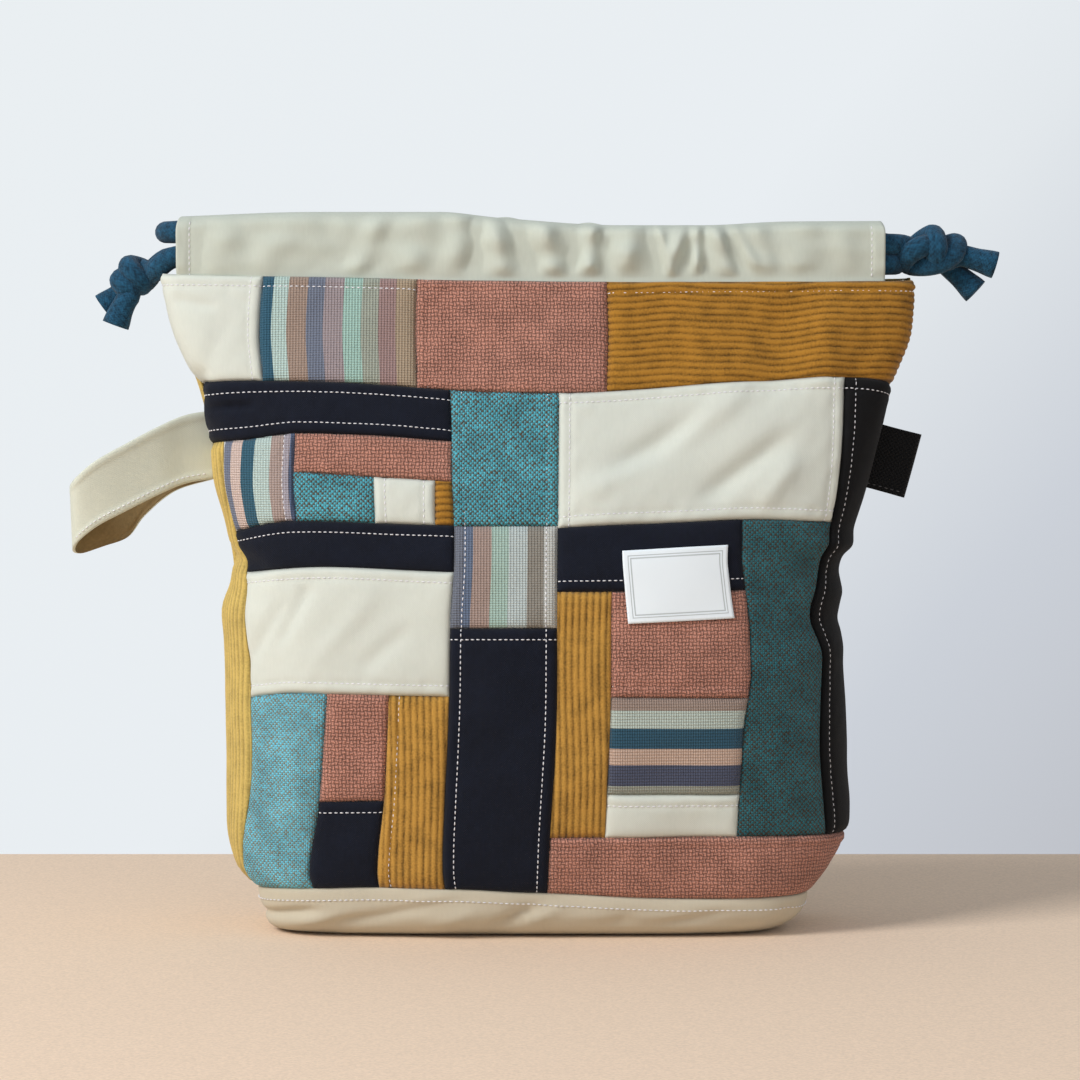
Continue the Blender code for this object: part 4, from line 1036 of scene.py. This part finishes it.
def cord_line(name):
    """One cord from tail to tail: out of its knot, through both casings and back into the knot."""
    side, height, _, front, back = CORDS[name]
    return spline_points(front[::-1] + loop_route(side, height) + back, CORD_STEP)


def cord_radii(line, knot):
    """The cord's radius along it: fuller in the knot, where it turns, and at its flared ends."""
    to_knot = np.linalg.norm(line - np.array(knot), axis=1)
    to_turn = np.abs(np.linspace(-1, 1, len(line)))
    to_end = np.minimum(np.arange(len(line)), np.arange(len(line))[::-1])
    fuller = 0.03 * np.exp(-(to_knot / 0.012) ** 4) + 0.14 * np.exp(-(to_turn / 0.03) ** 2)
    return CORD_RADIUS * (1 + fuller + 0.26 * np.exp(-(to_end / 3.5) ** 2))


def next_ring(bm, loop):
    """Extrudes a closed ring of vertices and returns the new ring in the same order."""
    edges = [bm.edges.get((one, two)) for one, two in zip(loop, loop[1:] + loop[:1])]
    made = set(bmesh.ops.extrude_edge_only(bm, edges=edges)["geom"])
    return [next(e.other_vert(v) for e in v.link_edges if e.other_vert(v) in made) for v in loop]


def tube(name, line, radii, sides, mat):
    """A tube lofted along a line from rings, with closed ends, and its length."""
    bm = bmesh.new()
    ahead = np.gradient(line, axis=0)
    ahead /= np.linalg.norm(ahead, axis=1, keepdims=True)
    side = np.cross(ahead[0], (0, 1, 0.1))
    along = way_along(line)
    loop = bmesh.ops.create_circle(bm, segments=sides, radius=CORD_RADIUS, cap_ends=True)["verts"]
    uvs = {}
    for k, here in enumerate(line):
        if k:
            loop = next_ring(bm, loop)
        side = side - ahead[k] * np.dot(side, ahead[k])
        side /= np.linalg.norm(side)
        up = np.cross(ahead[k], side)
        for n, vert in enumerate(loop):
            turn = 2 * math.pi * n / sides
            vert.co = here + radii[k] * (math.cos(turn) * side + math.sin(turn) * up)
            uvs[vert] = (n, along[k])
    bmesh.ops.contextual_create(bm, geom=[edge for edge in bm.edges if edge.is_boundary])
    bmesh.ops.recalc_face_normals(bm, faces=bm.faces)
    layer = bm.loops.layers.uv.new("cloth")
    round_trip = 2 * math.pi * CORD_RADIUS
    for face in bm.faces:
        numbers = [uvs[corner.vert][0] for corner in face.loops]
        crosses = len(numbers) == 4 and max(numbers) - min(numbers) > sides / 2
        for corner, number in zip(face.loops, numbers):
            turn = number + sides if crosses and number == 0 else number
            corner[layer].uv = (turn / sides * round_trip, uvs[corner.vert][1])
    return link_object(name, mesh_from(bm, name), mat), float(along[-1])


class BAG_OT_cords(bpy.types.Operator):
    """Makes the two drawstrings with their knots and flared ends"""

    bl_idname = "bag.cords"
    bl_label = "Drawstrings"

    def execute(self, context):
        for name, (side, _, knot, _, _) in CORDS.items():
            line = cord_line(name)
            cord, length = tube(f"{name}_cord", line, cord_radii(line, knot), CORD_SIDES, materials()["cord"])
            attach(cord, name)
            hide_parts(name, f"{name}_knot")
        return {"FINISHED"}


class BAG_OT_front(bpy.types.Operator):
    """Makes the patches of the front"""

    bl_idname = "bag.front"
    bl_label = "Front patches"

    def execute(self, context):
        for name in PATCHES:
            patch = Patch(name)
            mat = materials()[patch.cloth]
            obj = grid_cloth(f"{name}_cloth", patch.cells(), patch.place, mat, CLOTH)
            stand_for(obj, name)
        return {"FINISHED"}


class BAG_OT_back(bpy.types.Operator):
    """Makes the back of corduroy"""

    bl_idname = "bag.back"
    bl_label = "Back"

    def execute(self, context):
        def place(a, b):
            share = 1 - 2 * a
            low = smooth(share, BACK_BASE_SEAM)
            height = low + b * (BODY_HEIGHT - low)
            u = share * BODY.half_length(share, height)
            wale = pile_height(across_wales(u, height))
            edge = np.minimum(np.minimum(a, 1 - a) * BACK_WIDTH, np.minimum(b, 1 - b) * BACK_HEIGHT)
            lift = seam_lift(1 - np.exp(-edge / SEAM_REACH)) + sizes().wale_depth * (wale - 1)
            lift = lift + relief(BODY.point(share, height, True), True)
            return BODY.off(share, height, lift, True), np.stack([u, height], -1), wale

        obj = grid_cloth("back_cloth", BACK_CELLS, place, materials()["yellow_up"], CLOTH)
        stand_for(obj, "back_panel")
        return {"FINISHED"}


def tub(name, sides, loops, mat, thickness):
    """A tub of cloth: a floor with a ring of faces inside it, lofted up through loops of points."""
    bm = bmesh.new()
    loop = bmesh.ops.create_circle(bm, segments=sides, radius=BASE_HALF_DEPTH, cap_ends=True)["verts"]
    floor = list(bm.faces)
    for k, points in enumerate(loops):
        if k:
            loop = next_ring(bm, loop)
        for vert, point in zip(loop, points):
            vert.co = point
    bmesh.ops.inset_region(bm, faces=floor, thickness=FLOOR_INSET)
    bmesh.ops.recalc_face_normals(bm, faces=bm.faces)
    layer = bm.loops.layers.uv.new("cloth")
    for face in bm.faces:
        for corner in face.loops:
            co = corner.vert.co
            flat = abs(face.normal.z) > 0.7
            corner[layer].uv = (co.x, co.y if flat else co.z)
    obj = link_object(name, mesh_from(bm, name), mat)
    thicken(obj, thickness)
    return obj


def even_share(t):
    """A share for t from -1 to 1, in steps that close up towards the corners of the section."""
    return 0.45 * t + 0.55 * np.sin(t * math.pi / 2)


def ring(sides, height_of, lift_of):
    """Points of one loop round the body, the first at the left side seam."""
    turn = np.arange(sides) / sides * 4
    front = turn <= 2
    share = np.where(front, even_share(turn - 1), even_share(3 - turn))
    points = np.zeros((sides, 3))
    for mask, back in ((front, False), (~front, True)):
        height = height_of(share[mask], back) * np.ones(mask.sum())
        at = BODY.point(share[mask], height, back)
        points[mask] = BODY.off(share[mask], height, lift_of(at, back), back)
    return points


class BAG_OT_base(bpy.types.Operator):
    """Makes the base that wraps under the bag"""

    bl_idname = "bag.base"
    bl_label = "Base"

    def execute(self, context):
        loops = [ring(BASE_SIDES, lambda share, back: 0.0, lambda at, back: 0.0)]
        for part in np.linspace(0.06, 1, BASE_LOOPS):
            loops.append(ring(BASE_SIDES, partial(self.height_of, part), partial(self.lift_of, part)))
        # The base wears the canvas darkened as painted shade.
        obj = tub("base_cloth", BASE_SIDES, loops, materials()["base_in_shade"], CLOTH)
        stand_for(obj, "base_panel")
        return {"FINISHED"}

    @staticmethod
    def height_of(part, share, back):
        """Height of the loop at that part of the way up to the base's seam."""
        return part * smooth(share, BACK_BASE_SEAM if back else BASE_SEAM)

    @staticmethod
    def lift_of(part, at, back):
        """How far the loop stands off the body."""
        rise = 1 - math.exp(-(1 - part) * BASE_WALL / SEAM_REACH)
        return seam_lift(rise) + relief(at, back) * min(1.0, part * 2.5)


class BAG_OT_lining(bpy.types.Operator):
    """Makes the lining"""

    bl_idname = "bag.lining"
    bl_label = "Lining"

    def execute(self, context):
        floor = CLOTH + LINING_EASE
        inside = floor + LINING_ROOM
        start = ring(LINING_SIDES, lambda share, back: floor, lambda at, back: -inside)
        loops = [start * (LINING_FLOOR_SHARE, LINING_FLOOR_SHARE, 1.0)]
        for level in np.linspace(LINING_START, BODY_HEIGHT - LINING_DROP, LINING_LOOPS):
            loops.append(ring(LINING_SIDES, lambda share, back, level=level: level,
                              lambda at, back: -inside + 0.5 * relief(at, back)))
        obj = tub("lining_cloth", LINING_SIDES, loops, materials()["lining"], LINING_CLOTH)
        stand_for(obj, "lining")
        return {"FINISHED"}


# Height of the casings' top edge along the bag: x, height
CASING_TOP = (
    (-0.1365, 0.2684), (-0.0821, 0.2702), (-0.0365, 0.2702), (-0.0137, 0.2680), (0.0319, 0.2652),
    (0.0623, 0.2652), (0.0950, 0.2666), (0.1319, 0.2668),
)
# Vertical folds of the casings: x, half-width, height, lean
CASING_FOLDS = (
    (-0.1277, 0.0040, -0.0004, 0.0), (-0.1180, 0.0060, 0.0006, 0.3), (-0.0950, 0.0080, 0.0008, 0.5),
    (-0.0690, 0.0050, -0.0004, 0.4), (-0.0630, 0.0050, 0.0009, 0.4), (-0.0570, 0.0040, -0.0003, 0.4),
    (-0.0450, 0.0070, 0.0010, 0.2), (-0.0300, 0.0050, 0.0012, 0.1), (-0.0224, 0.0032, -0.0008, 0.1),
    (-0.0140, 0.0045, 0.0019, -0.2), (-0.0051, 0.0035, -0.0009, -0.5), (0.0045, 0.0045, 0.0020, -0.2),
    (0.0156, 0.0030, -0.0008, 0.2), (0.0207, 0.0036, 0.0018, 0.1), (0.0258, 0.0026, -0.0007, -0.1),
    (0.0350, 0.0048, 0.0021, 0.1), (0.0448, 0.0024, -0.0010, -0.2), (0.0475, 0.0022, 0.0012, -0.3),
    (0.0530, 0.0034, 0.0017, 0.3), (0.0570, 0.0022, -0.0009, 0.2), (0.0603, 0.0024, 0.0014, 0.0),
    (0.0635, 0.0020, -0.0007, 0.0), (0.0690, 0.0038, 0.0018, -0.3), (0.0737, 0.0022, -0.0010, -0.4),
    (0.0780, 0.0030, 0.0012, -0.5), (0.0850, 0.0040, 0.0008, -0.3), (0.1000, 0.0080, 0.0007, 0.1),
    (0.1180, 0.0070, 0.0005, 0.2),
)
# Where the back casing's edge stands up: x, height
BACK_CRESTS = ((-0.0106, 0.0010), (0.0205, 0.0012))
CREST_HALF_WIDTH = 0.0050
# The casings' foot below the mouth's edge, and the hem at their ends, whose topstitch lies at a share of
# their length
OUTER_FOOT = -0.0050
INNER_FOOT = -0.0040
OUTER_STEPS = 21
HEM_WIDTH = 0.0050
HEM_STITCH_SHARE = 0.01864
HEM_RISE = 0.0004
HEM_RUN = 0.0003
HEM_GROOVE = 0.0003
HEM_GROOVE_REACH = 0.0007
# Where the foot parts from the mouth's cloth, the height it needs for that, and where it is free
FOOT_START = -0.0008
FOOT_RUN = 0.0060
FOOT_END = 0.0090
# How strong the gathers are, with the broad and the fine waves between them, and how deep they may go
GATHERED = 1.6
FINE_GATHER = 0.0004
BROAD_GATHER = 0.0005
GATHER_DEPTH = 0.0003
GATHER_EASE = 0.0001


def casing_section():
    """The folded strip in section, from its outer foot over the cords to its inner foot."""
    high = HIGH_CORD_HEIGHT - BODY_HEIGHT
    low = LOW_CORD_HEIGHT - BODY_HEIGHT
    half = CHANNEL_HALF + CASING_CLOTH
    over = [(CASING_MIDDLE + half * math.cos(t), high + half * math.sin(t))
            for t in np.linspace(0, math.pi, 13)]
    under = [(CASING_MIDDLE - half * math.cos(t), low - half * math.sin(t))
             for t in np.linspace(0, 1.2, 6)]
    outer = [(CASING_MIDDLE + half, rise) for rise in np.linspace(OUTER_FOOT, high, OUTER_STEPS + 1)[:-1]]
    inner = [(CASING_MIDDLE - half, rise) for rise in np.linspace(high, low, 6)[1:-1]]
    foot = [(CASING_MIDDLE + half - CASING_CLOTH - GAP, INNER_FOOT)]
    return np.array(outer + over + inner + under + foot)


def casing_top(x, back):
    """Height of a casing's top edge above the mouth."""
    top = smooth(x, CASING_TOP) - BODY_HEIGHT
    if back:
        for crest, extra in BACK_CRESTS:
            top = top + extra * np.exp(-((x - crest) / CREST_HALF_WIDTH) ** 2)
    return top


def casing_fold(x, rise, back):
    """How far a casing's gathers stand out."""
    fold = np.zeros_like(x)
    for middle, half_width, height, lean in CASING_FOLDS:
        middle = -middle if back else middle
        uneven = 1 + 0.35 * np.sin(rise * 420 + middle * 300)
        fold += height * uneven * np.exp(-((x - middle - lean * (rise - 0.012)) / half_width) ** 2)
    fold = GATHERED * fold + FINE_GATHER * ripple(x, rise, 0.011, 31)
    fold = fold + BROAD_GATHER * ripple(x, rise, 0.030, 32)
    return np.maximum(fold, -GATHER_DEPTH) + GATHER_EASE


def casing_place(a, b, back):
    """Points of a casing, a along the mouth and b round its section, and their cloth coordinates."""
    section = casing_section()
    steps = np.linspace(0, 1, len(section))
    out, rise = (np.interp(b, steps, section[:, axis]) for axis in (0, 1))
    near_slit = np.clip((CASING_OUTER - out) / (CASING_OUTER - CASING_SLIT / 2), 0, 1)
    left = CASING_LEFT + CASING_SETBACK * near_slit
    right = CASING_RIGHT - CASING_SETBACK * near_slit
    x = left + (1 - a if back else a) * (right - left)
    rise = rise * np.where(rise > 0, casing_top(x, back) / section[:, 1].max(), 1)
    fold = casing_fold(x, rise, back)

    # The foot follows the inside of the mouth's cloth
    height = np.clip(BODY_HEIGHT + rise, 0, BODY_HEIGHT)
    share = np.interp(x, BODY.x[-3], np.linspace(-1, 1, 2 * SHARE_STEPS + 1))
    layer = CLOTH + GAP + np.where(b > 0.5, CASING_CLOTH + GAP, 0.0)
    inside = np.abs(BODY.off(share, height, -layer, back)[..., 1])
    free = np.clip((rise - FOOT_START) / FOOT_RUN, 0, 1)
    free = free * free * (3 - 2 * free)

    # The outer face has the gathers, and the hems with their topstitch
    outer_face = np.clip((out - CASING_MIDDLE) / CHANNEL_HALF, 0, 1)
    end = np.minimum(x - left, right - x)
    hem = HEM_RISE / (1 + np.exp((end - HEM_WIDTH) / HEM_RUN))
    groove = HEM_GROOVE * np.exp(-((end - HEM_WIDTH) / HEM_GROOVE_REACH) ** 2)
    out = out + (fold + hem - groove) * outer_face
    out = np.where(rise < FOOT_END, free * out + (1 - free) * inside, out)
    cloth = np.stack([x, rise + 0.02 * (1 - outer_face)], -1)
    return np.stack([x, out if back else -out, BODY_HEIGHT + rise], -1), cloth, None


class BAG_OT_casings(bpy.types.Operator):
    """Makes the two gathered casings and the topstitching of their hems"""

    bl_idname = "bag.casings"
    bl_label = "Casings"

    def execute(self, context):
        for node, back in (("front_casing", False), ("back_casing", True)):
            place = partial(casing_place, back=back)
            obj = grid_cloth(f"{node}_cloth", CASING_CELLS, place, materials()["sage"], CASING_CLOTH)
            stand_for(obj, node)
        bm = bmesh.new()
        b = np.linspace(0.10, 1.15 * OUTER_STEPS / len(casing_section()), 60)
        for back in (False, True):
            for a in (HEM_STITCH_SHARE, 1 - HEM_STITCH_SHARE):
                points = casing_place(np.full_like(b, a), b, back)[0]
                beside = casing_place(np.full_like(b, a + 0.004), b, back)[0]
                normals = np.cross(beside - points, np.gradient(points, axis=0))
                add_stitches(bm, points, normals, TO_BACK if back else TO_FRONT)
        finish_stitches(bm, "casing_stitches")
        return {"FINISHED"}


def add_stitches(whole, points, normals, outward=TO_FRONT, sunk=0.0):
    """Small raised threads along a line on the cloth, added to a larger bmesh."""
    along = way_along(points)
    count = int(along[-1] / sizes().stitch_pitch)
    bm = bmesh.new()
    for k in range(count):
        at = (k + 0.5) * along[-1] / count
        here, before, after = (
            Vector([np.interp(at + shift, along, points[:, axis]) for axis in range(3)])
            for shift in (0, -STITCH_AHEAD, STITCH_AHEAD))
        normal = Vector([np.interp(at, along, normals[:, axis]) for axis in range(3)])
        if normal.dot(outward) < 0:
            normal.negate()
        normal.normalize()
        ahead = (after - before).normalized()
        side = normal.cross(ahead).normalized()
        turned = Matrix((ahead, side, normal)).transposed().to_4x4()
        sized = Matrix.Diagonal((*STITCH_SIZE, 1))
        place = Matrix.Translation(here + (STITCH_LIFT - sunk) * normal) @ turned @ sized
        bmesh.ops.create_uvsphere(bm, u_segments=6, v_segments=4, radius=1, matrix=place)
    line = mesh_from(bm, "stitch_line")
    whole.from_mesh(line)
    bpy.data.meshes.remove(line)


def finish_stitches(bm, name, thread="thread"):
    """The stitches as one piece of thread on the bag."""
    obj = link_object(name, mesh_from(bm, name), materials()[thread])
    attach(obj, "bag")


class BAG_OT_stitches(bpy.types.Operator):
    """Topstitches the patches and the base"""

    bl_idname = "bag.stitches"
    bl_label = "Topstitching"

    def execute(self, context):
        bm = bmesh.new()
        t = np.linspace(0, 1, 160)
        for name in PATCHES:
            patch = Patch(name)
            across = np.full_like(t, sizes().stitch_inset / patch.width)
            up = np.full_like(t, sizes().stitch_inset / patch.height)
            lines = {"left": (across, t), "right": (1 - across, t), "lower": (t, up), "upper": (t, 1 - up)}
            for side in patch.stitched:
                points = patch.place(*lines[side])[0]
                normals = BODY.normal(*spot(*lines[side], *patch.seams))
                add_stitches(bm, points, normals, sunk=SUNK.get(patch.cloth, 0.0))
        share = np.linspace(-BASE_STITCH_END, BASE_STITCH_END, 300)
        height = smooth(share, BASE_SEAM) - BASE_STITCH_DROP
        points = BODY.off(share, height, sizes().puff + relief(BODY.point(share, height)))
        add_stitches(bm, points, BODY.normal(share, height))
        finish_stitches(bm, "front_stitches")
        return {"FINISHED"}


# The strap's middle line from the seam's middle to the fold and back: x, y, z, lean of its width
STRAP_ROUTE = (
    (0.0010, -0.0008, 0.0000, 0), (-0.0100, -0.0036, -0.0018, 4), (-0.0200, -0.0072, -0.0060, 8),
    (-0.0320, -0.0096, -0.0122, 12), (-0.0430, -0.0100, -0.0182, 16), (-0.0505, -0.0072, -0.0245, 20),
    (-0.0532, -0.0005, -0.0285, 22), (-0.0512, 0.0062, -0.0300, 22), (-0.0425, 0.0098, -0.0272, 18),
    (-0.0335, 0.0100, -0.0235, 14), (-0.0270, 0.0086, -0.0150, 10), (-0.0150, 0.0048, -0.0052, 5),
    (0.0010, 0.0008, 0.0000, 0),
)
# The strap's hem beside each edge: how far it swells, its distance from the edge, its half-width
STRAP_HEM = (0.00045, 0.0018, 0.0011)


class BAG_OT_strap(bpy.types.Operator):
    """Makes the wrist strap"""

    bl_idname = "bag.strap"
    bl_label = "Wrist strap"

    def execute(self, context):
        seam = BODY.point(-1.0, STRAP_HEIGHT)
        route = spline_points([p[:3] for p in STRAP_ROUTE], 0.0012)
        along = way_along(route)
        knots = np.linspace(0, 1, len(STRAP_ROUTE))
        leans = [math.radians(p[3]) for p in STRAP_ROUTE]
        hem_height, hem_inset, hem_reach = STRAP_HEM

        def place(a, b):
            at = a * along[-1]
            x, y, z = (np.interp(at, along, route[:, axis]) for axis in range(3))
            lean = np.interp(a, knots, leans)
            half = (b - 0.5) * STRAP_WIDTH
            rim = np.minimum(b, 1 - b) * STRAP_WIDTH
            swell = hem_height * np.exp(-((rim - hem_inset) / hem_reach) ** 2)
            y = y - half * np.sin(lean) * 0.8 + np.where(a < 0.5, -1, 1) * swell
            points = np.stack([seam[0] + x, y, STRAP_HEIGHT + z + half * np.cos(lean)], -1)
            return points, np.stack([at, half], -1), None

        # One face of the strap gets the painted shade of its inner side; the other face and the rim get the
        # strap's own colour.
        obj = grid_cloth("strap_cloth", STRAP_CELLS, place, materials()["strap_inner_shade"], STRAP_CLOTH, 0)
        obj.data.materials.append(materials()["strap"])
        obj.modifiers["Cloth"].material_offset = 1
        obj.modifiers["Cloth"].material_offset_rim = 1
        stand_for(obj, "strap_loop")
        bm = bmesh.new()
        a = np.linspace(0.02, 0.44, 90)
        points = place(a, np.full_like(a, STRAP_STITCH_SHARE))[0]
        add_stitches(bm, points, np.tile((-0.3, -1.0, 0.0), (len(a), 1)), sunk=-STRAP_CLOTH / 2)
        finish_stitches(bm, "strap_stitches")
        return {"FINISHED"}


class BAG_OT_tab(bpy.types.Operator):
    """Makes the tab in the right side seam"""

    bl_idname = "bag.tab"
    bl_label = "Side tab"

    def execute(self, context):
        seam = BODY.point(1.0, TAB_HEIGHT)
        layer = (STRAP_CLOTH + GAP) / 2
        near = [(-TAB_HELD, layer), (TAB_LENGTH * 0.5, layer), (TAB_LENGTH, layer),
                (TAB_LENGTH + layer, 0.5 * layer)]
        route = spline_points([(x, -y, 0) for x, y in near] + [(x, y, 0) for x, y in near[::-1]], 0.0006)
        steps = np.linspace(0, 1, len(route))

        def place(a, b):
            x, y = (np.interp(a, steps, route[:, axis]) for axis in range(2))
            half = (b - 0.5) * TAB_WIDTH
            z = TAB_HEIGHT - TAB_DROP * x / TAB_LENGTH + half
            edge = BODY.point(np.ones_like(z), z)[..., 0]
            held = np.exp(-np.maximum(x, 0) / TAB_SEAM_REACH)
            lean = TAB_LEAN * half * np.clip(x / TAB_LENGTH, 0, 1)
            points = np.stack([seam[0] + x + lean + (edge - seam[0]) * held, y, z], -1)
            return points, np.stack([x, half], -1), None

        obj = grid_cloth("tab_webbing", TAB_CELLS, place, materials()["black"], STRAP_CLOTH, 0)
        stand_for(obj, "side_tab")
        bm = bmesh.new()
        a = np.linspace(0.04, 0.44, 40)
        points = place(a, np.full_like(a, TAB_STITCH_SHARE))[0]
        sunk = STITCH_LIFT - STRAP_CLOTH / 2
        add_stitches(bm, points, np.tile((0.0, -1.0, 0.0), (len(a), 1)), sunk=sunk)
        finish_stitches(bm, "tab_stitches", "black_thread")
        return {"FINISHED"}


class BAG_OT_label(bpy.types.Operator):
    """Makes the blank label with its plain border"""

    bl_idname = "bag.label"
    bl_label = "Label"

    def execute(self, context):
        lower_left, lower_right, upper_left, upper_right = (np.array(c) for c in LABEL_CORNERS)

        def place(a, b):
            low = lower_left + a[:, None] * (lower_right - lower_left)
            high = upper_left + a[:, None] * (upper_right - upper_left)
            share, height = (low + b[:, None] * (high - low)).T
            at = BODY.point(share, height)
            lift = sizes().puff + GAP + LABEL_CLOTH + relief(at)
            u = share * BODY.half_length(share, height)
            return BODY.off(share, height, lift), np.stack([u, height], -1), None

        obj = grid_cloth("label_cloth", LABEL_CELLS, place, materials()["label"], LABEL_CLOTH)
        stand_for(obj, "label")
        return {"FINISHED"}


# The studio's colours as sRGB, how far the wall stands off, and the light of the sky
TABLE_COLOUR = (240, 214, 188)
WALL_COLOUR = (240, 244, 247)
SKY_COLOUR = (236, 241, 248)
SEEN_SKY_COLOUR = (228, 233, 238)
SKY_STRENGTH = 0.48
WALL_AWAY = 3.0
# The wall as the camera sees it, with painted light towards the upper left and painted shade to the lower
# right: distance down to the right, sRGB
WALL_PAINTED_LIGHT = (
    (-1.2, 234, 239, 242), (-0.1, 233, 238, 242), (0.15, 227, 232, 236), (0.56, 204, 209, 217),
    (1.0, 190, 193, 200),
)
# Lamp: place, size, power, colour
LAMPS = {
    "key_light": ((-1.7, -1.3, 1.6), 1.0, 50, (1.0, 0.99, 0.97)),
    "fill_light": ((0.6, -1.9, 1.0), 1.8, 3, (0.96, 0.98, 1.0)),
}
LAMP_AIM = Vector((0, 0, 0.12))


def painted_light_wall():
    """The wall's material: painted light and shade that glow for the camera, and a plain pale surface for the
    light.
    """
    m = Maker("wall_painted_light_look", linear(*WALL_COLOUR), 0.9)
    here = m.put("ShaderNodeTexCoord").outputs["Object"]
    parts = m.put("ShaderNodeSeparateXYZ", {"Vector": here}).outputs
    down = m.math("SUBTRACT", parts["X"], m.math("MULTIPLY", parts["Z"], 0.9))
    first, last = WALL_PAINTED_LIGHT[0][0], WALL_PAINTED_LIGHT[-1][0]
    stops = [((at - first) / (last - first), *rgb) for at, *rgb in WALL_PAINTED_LIGHT]
    # The wall glows with its painted light and shade.
    glow = m.put("ShaderNodeEmission", {"Color": m.ramp(m.ranged(down, first, last), stops), "Strength": 1.0})
    seen = m.put("ShaderNodeLightPath").outputs["Is Camera Ray"]
    both = m.put("ShaderNodeMixShader", {0: seen, 1: m.shader.outputs["BSDF"], 2: glow.outputs["Emission"]})
    out = next(node for node in m.tree.nodes if node.type == "OUTPUT_MATERIAL")
    m.tree.links.new(both.outputs["Shader"], out.inputs["Surface"])
    return m.mat


def stage_plane(name, size, place, turn, mat):
    """A flat piece of the studio, turned about X."""
    bm = bmesh.new()
    bmesh.ops.create_grid(bm, x_segments=1, y_segments=1, size=0.5)
    bmesh.ops.scale(bm, verts=bm.verts, vec=(*size, 1))
    bmesh.ops.rotate(bm, verts=bm.verts, matrix=Matrix.Rotation(math.radians(turn), 3, "X"))
    bmesh.ops.translate(bm, verts=bm.verts, vec=place)
    link_object(name, mesh_from(bm, name), mat)


def stage_lamp(name, place, size, power, rgb):
    """A square lamp that faces the bag."""
    data = bpy.data.lights.new(name, "AREA")
    data.size = size
    data.energy = power
    data.color = rgb
    lamp = bpy.data.objects.new(name, data)
    bpy.context.scene.collection.objects.link(lamp)
    lamp.location = place
    lamp.rotation_euler = (LAMP_AIM - Vector(place)).to_track_quat("-Z", "Y").to_euler()


def stage_sky():
    """The world: its soft light, and a plain pale colour where the camera sees it."""
    world = bpy.data.worlds.new("studio")
    world.use_nodes = True
    nodes, links = world.node_tree.nodes, world.node_tree.links
    sky = nodes["Background"]
    sky.inputs["Color"].default_value = (*linear(*SKY_COLOUR), 1)
    sky.inputs["Strength"].default_value = SKY_STRENGTH
    seen = nodes.new("ShaderNodeBackground")
    seen.inputs["Color"].default_value = (*linear(*SEEN_SKY_COLOUR), 1)
    both = nodes.new("ShaderNodeMixShader")
    links.new(nodes.new("ShaderNodeLightPath").outputs["Is Camera Ray"], both.inputs[0])
    links.new(sky.outputs[0], both.inputs[1])
    links.new(seen.outputs[0], both.inputs[2])
    links.new(both.outputs[0], nodes["World Output"].inputs["Surface"])
    return world


class BAG_OT_stage(bpy.types.Operator):
    """Makes the pale table, the wall and the soft light"""

    bl_idname = "bag.stage"
    bl_label = "Studio"

    def execute(self, context):
        table_look = plain_cloth("table_look", linear(*TABLE_COLOUR), 0.9, 0.0)
        stage_plane("table", (3.0, 1.7), (0, -0.65, -0.0004), 0, table_look)
        stage_plane("wall", (14.0, 10.0), (0, WALL_AWAY, 0.5), 90, painted_light_wall())
        for name, lamp in LAMPS.items():
            stage_lamp(name, *lamp)
        context.scene.world = stage_sky()
        context.scene.view_settings.view_transform = "Standard"
        return {"FINISHED"}


OPERATORS = (
    BAG_OT_camera, BAG_OT_cords, BAG_OT_front, BAG_OT_back, BAG_OT_base, BAG_OT_lining,
    BAG_OT_casings, BAG_OT_stitches, BAG_OT_strap, BAG_OT_tab, BAG_OT_label, BAG_OT_stage,
)


class BAG_PT_panel(bpy.types.Panel):
    """The bag's pieces, sizes and colours"""

    bl_idname = "BAG_PT_panel"
    bl_label = "Patchwork bag"
    bl_space_type = "VIEW_3D"
    bl_region_type = "UI"
    bl_category = "Bag"

    def draw(self, context):
        for operator in OPERATORS:
            self.layout.operator(operator.bl_idname)
        for group in (context.scene.bag_sizes, context.scene.bag_colours):
            for key in group.__annotations__:
                self.layout.prop(group, key)


CLASSES = (BagSizes, BagColours, *OPERATORS, BAG_PT_panel)


def register():
    for cls in CLASSES:
        bpy.utils.register_class(cls)
    bpy.types.Scene.bag_sizes = bpy.props.PointerProperty(type=BagSizes)
    bpy.types.Scene.bag_colours = bpy.props.PointerProperty(type=BagColours)


def unregister():
    del bpy.types.Scene.bag_colours
    del bpy.types.Scene.bag_sizes
    for cls in reversed(CLASSES):
        bpy.utils.unregister_class(cls)


def main():
    register()
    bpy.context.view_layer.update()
    for operator in OPERATORS:
        group, name = operator.bl_idname.split(".")
        getattr(getattr(bpy.ops, group), name)()


if __name__ == "__main__":
    main()
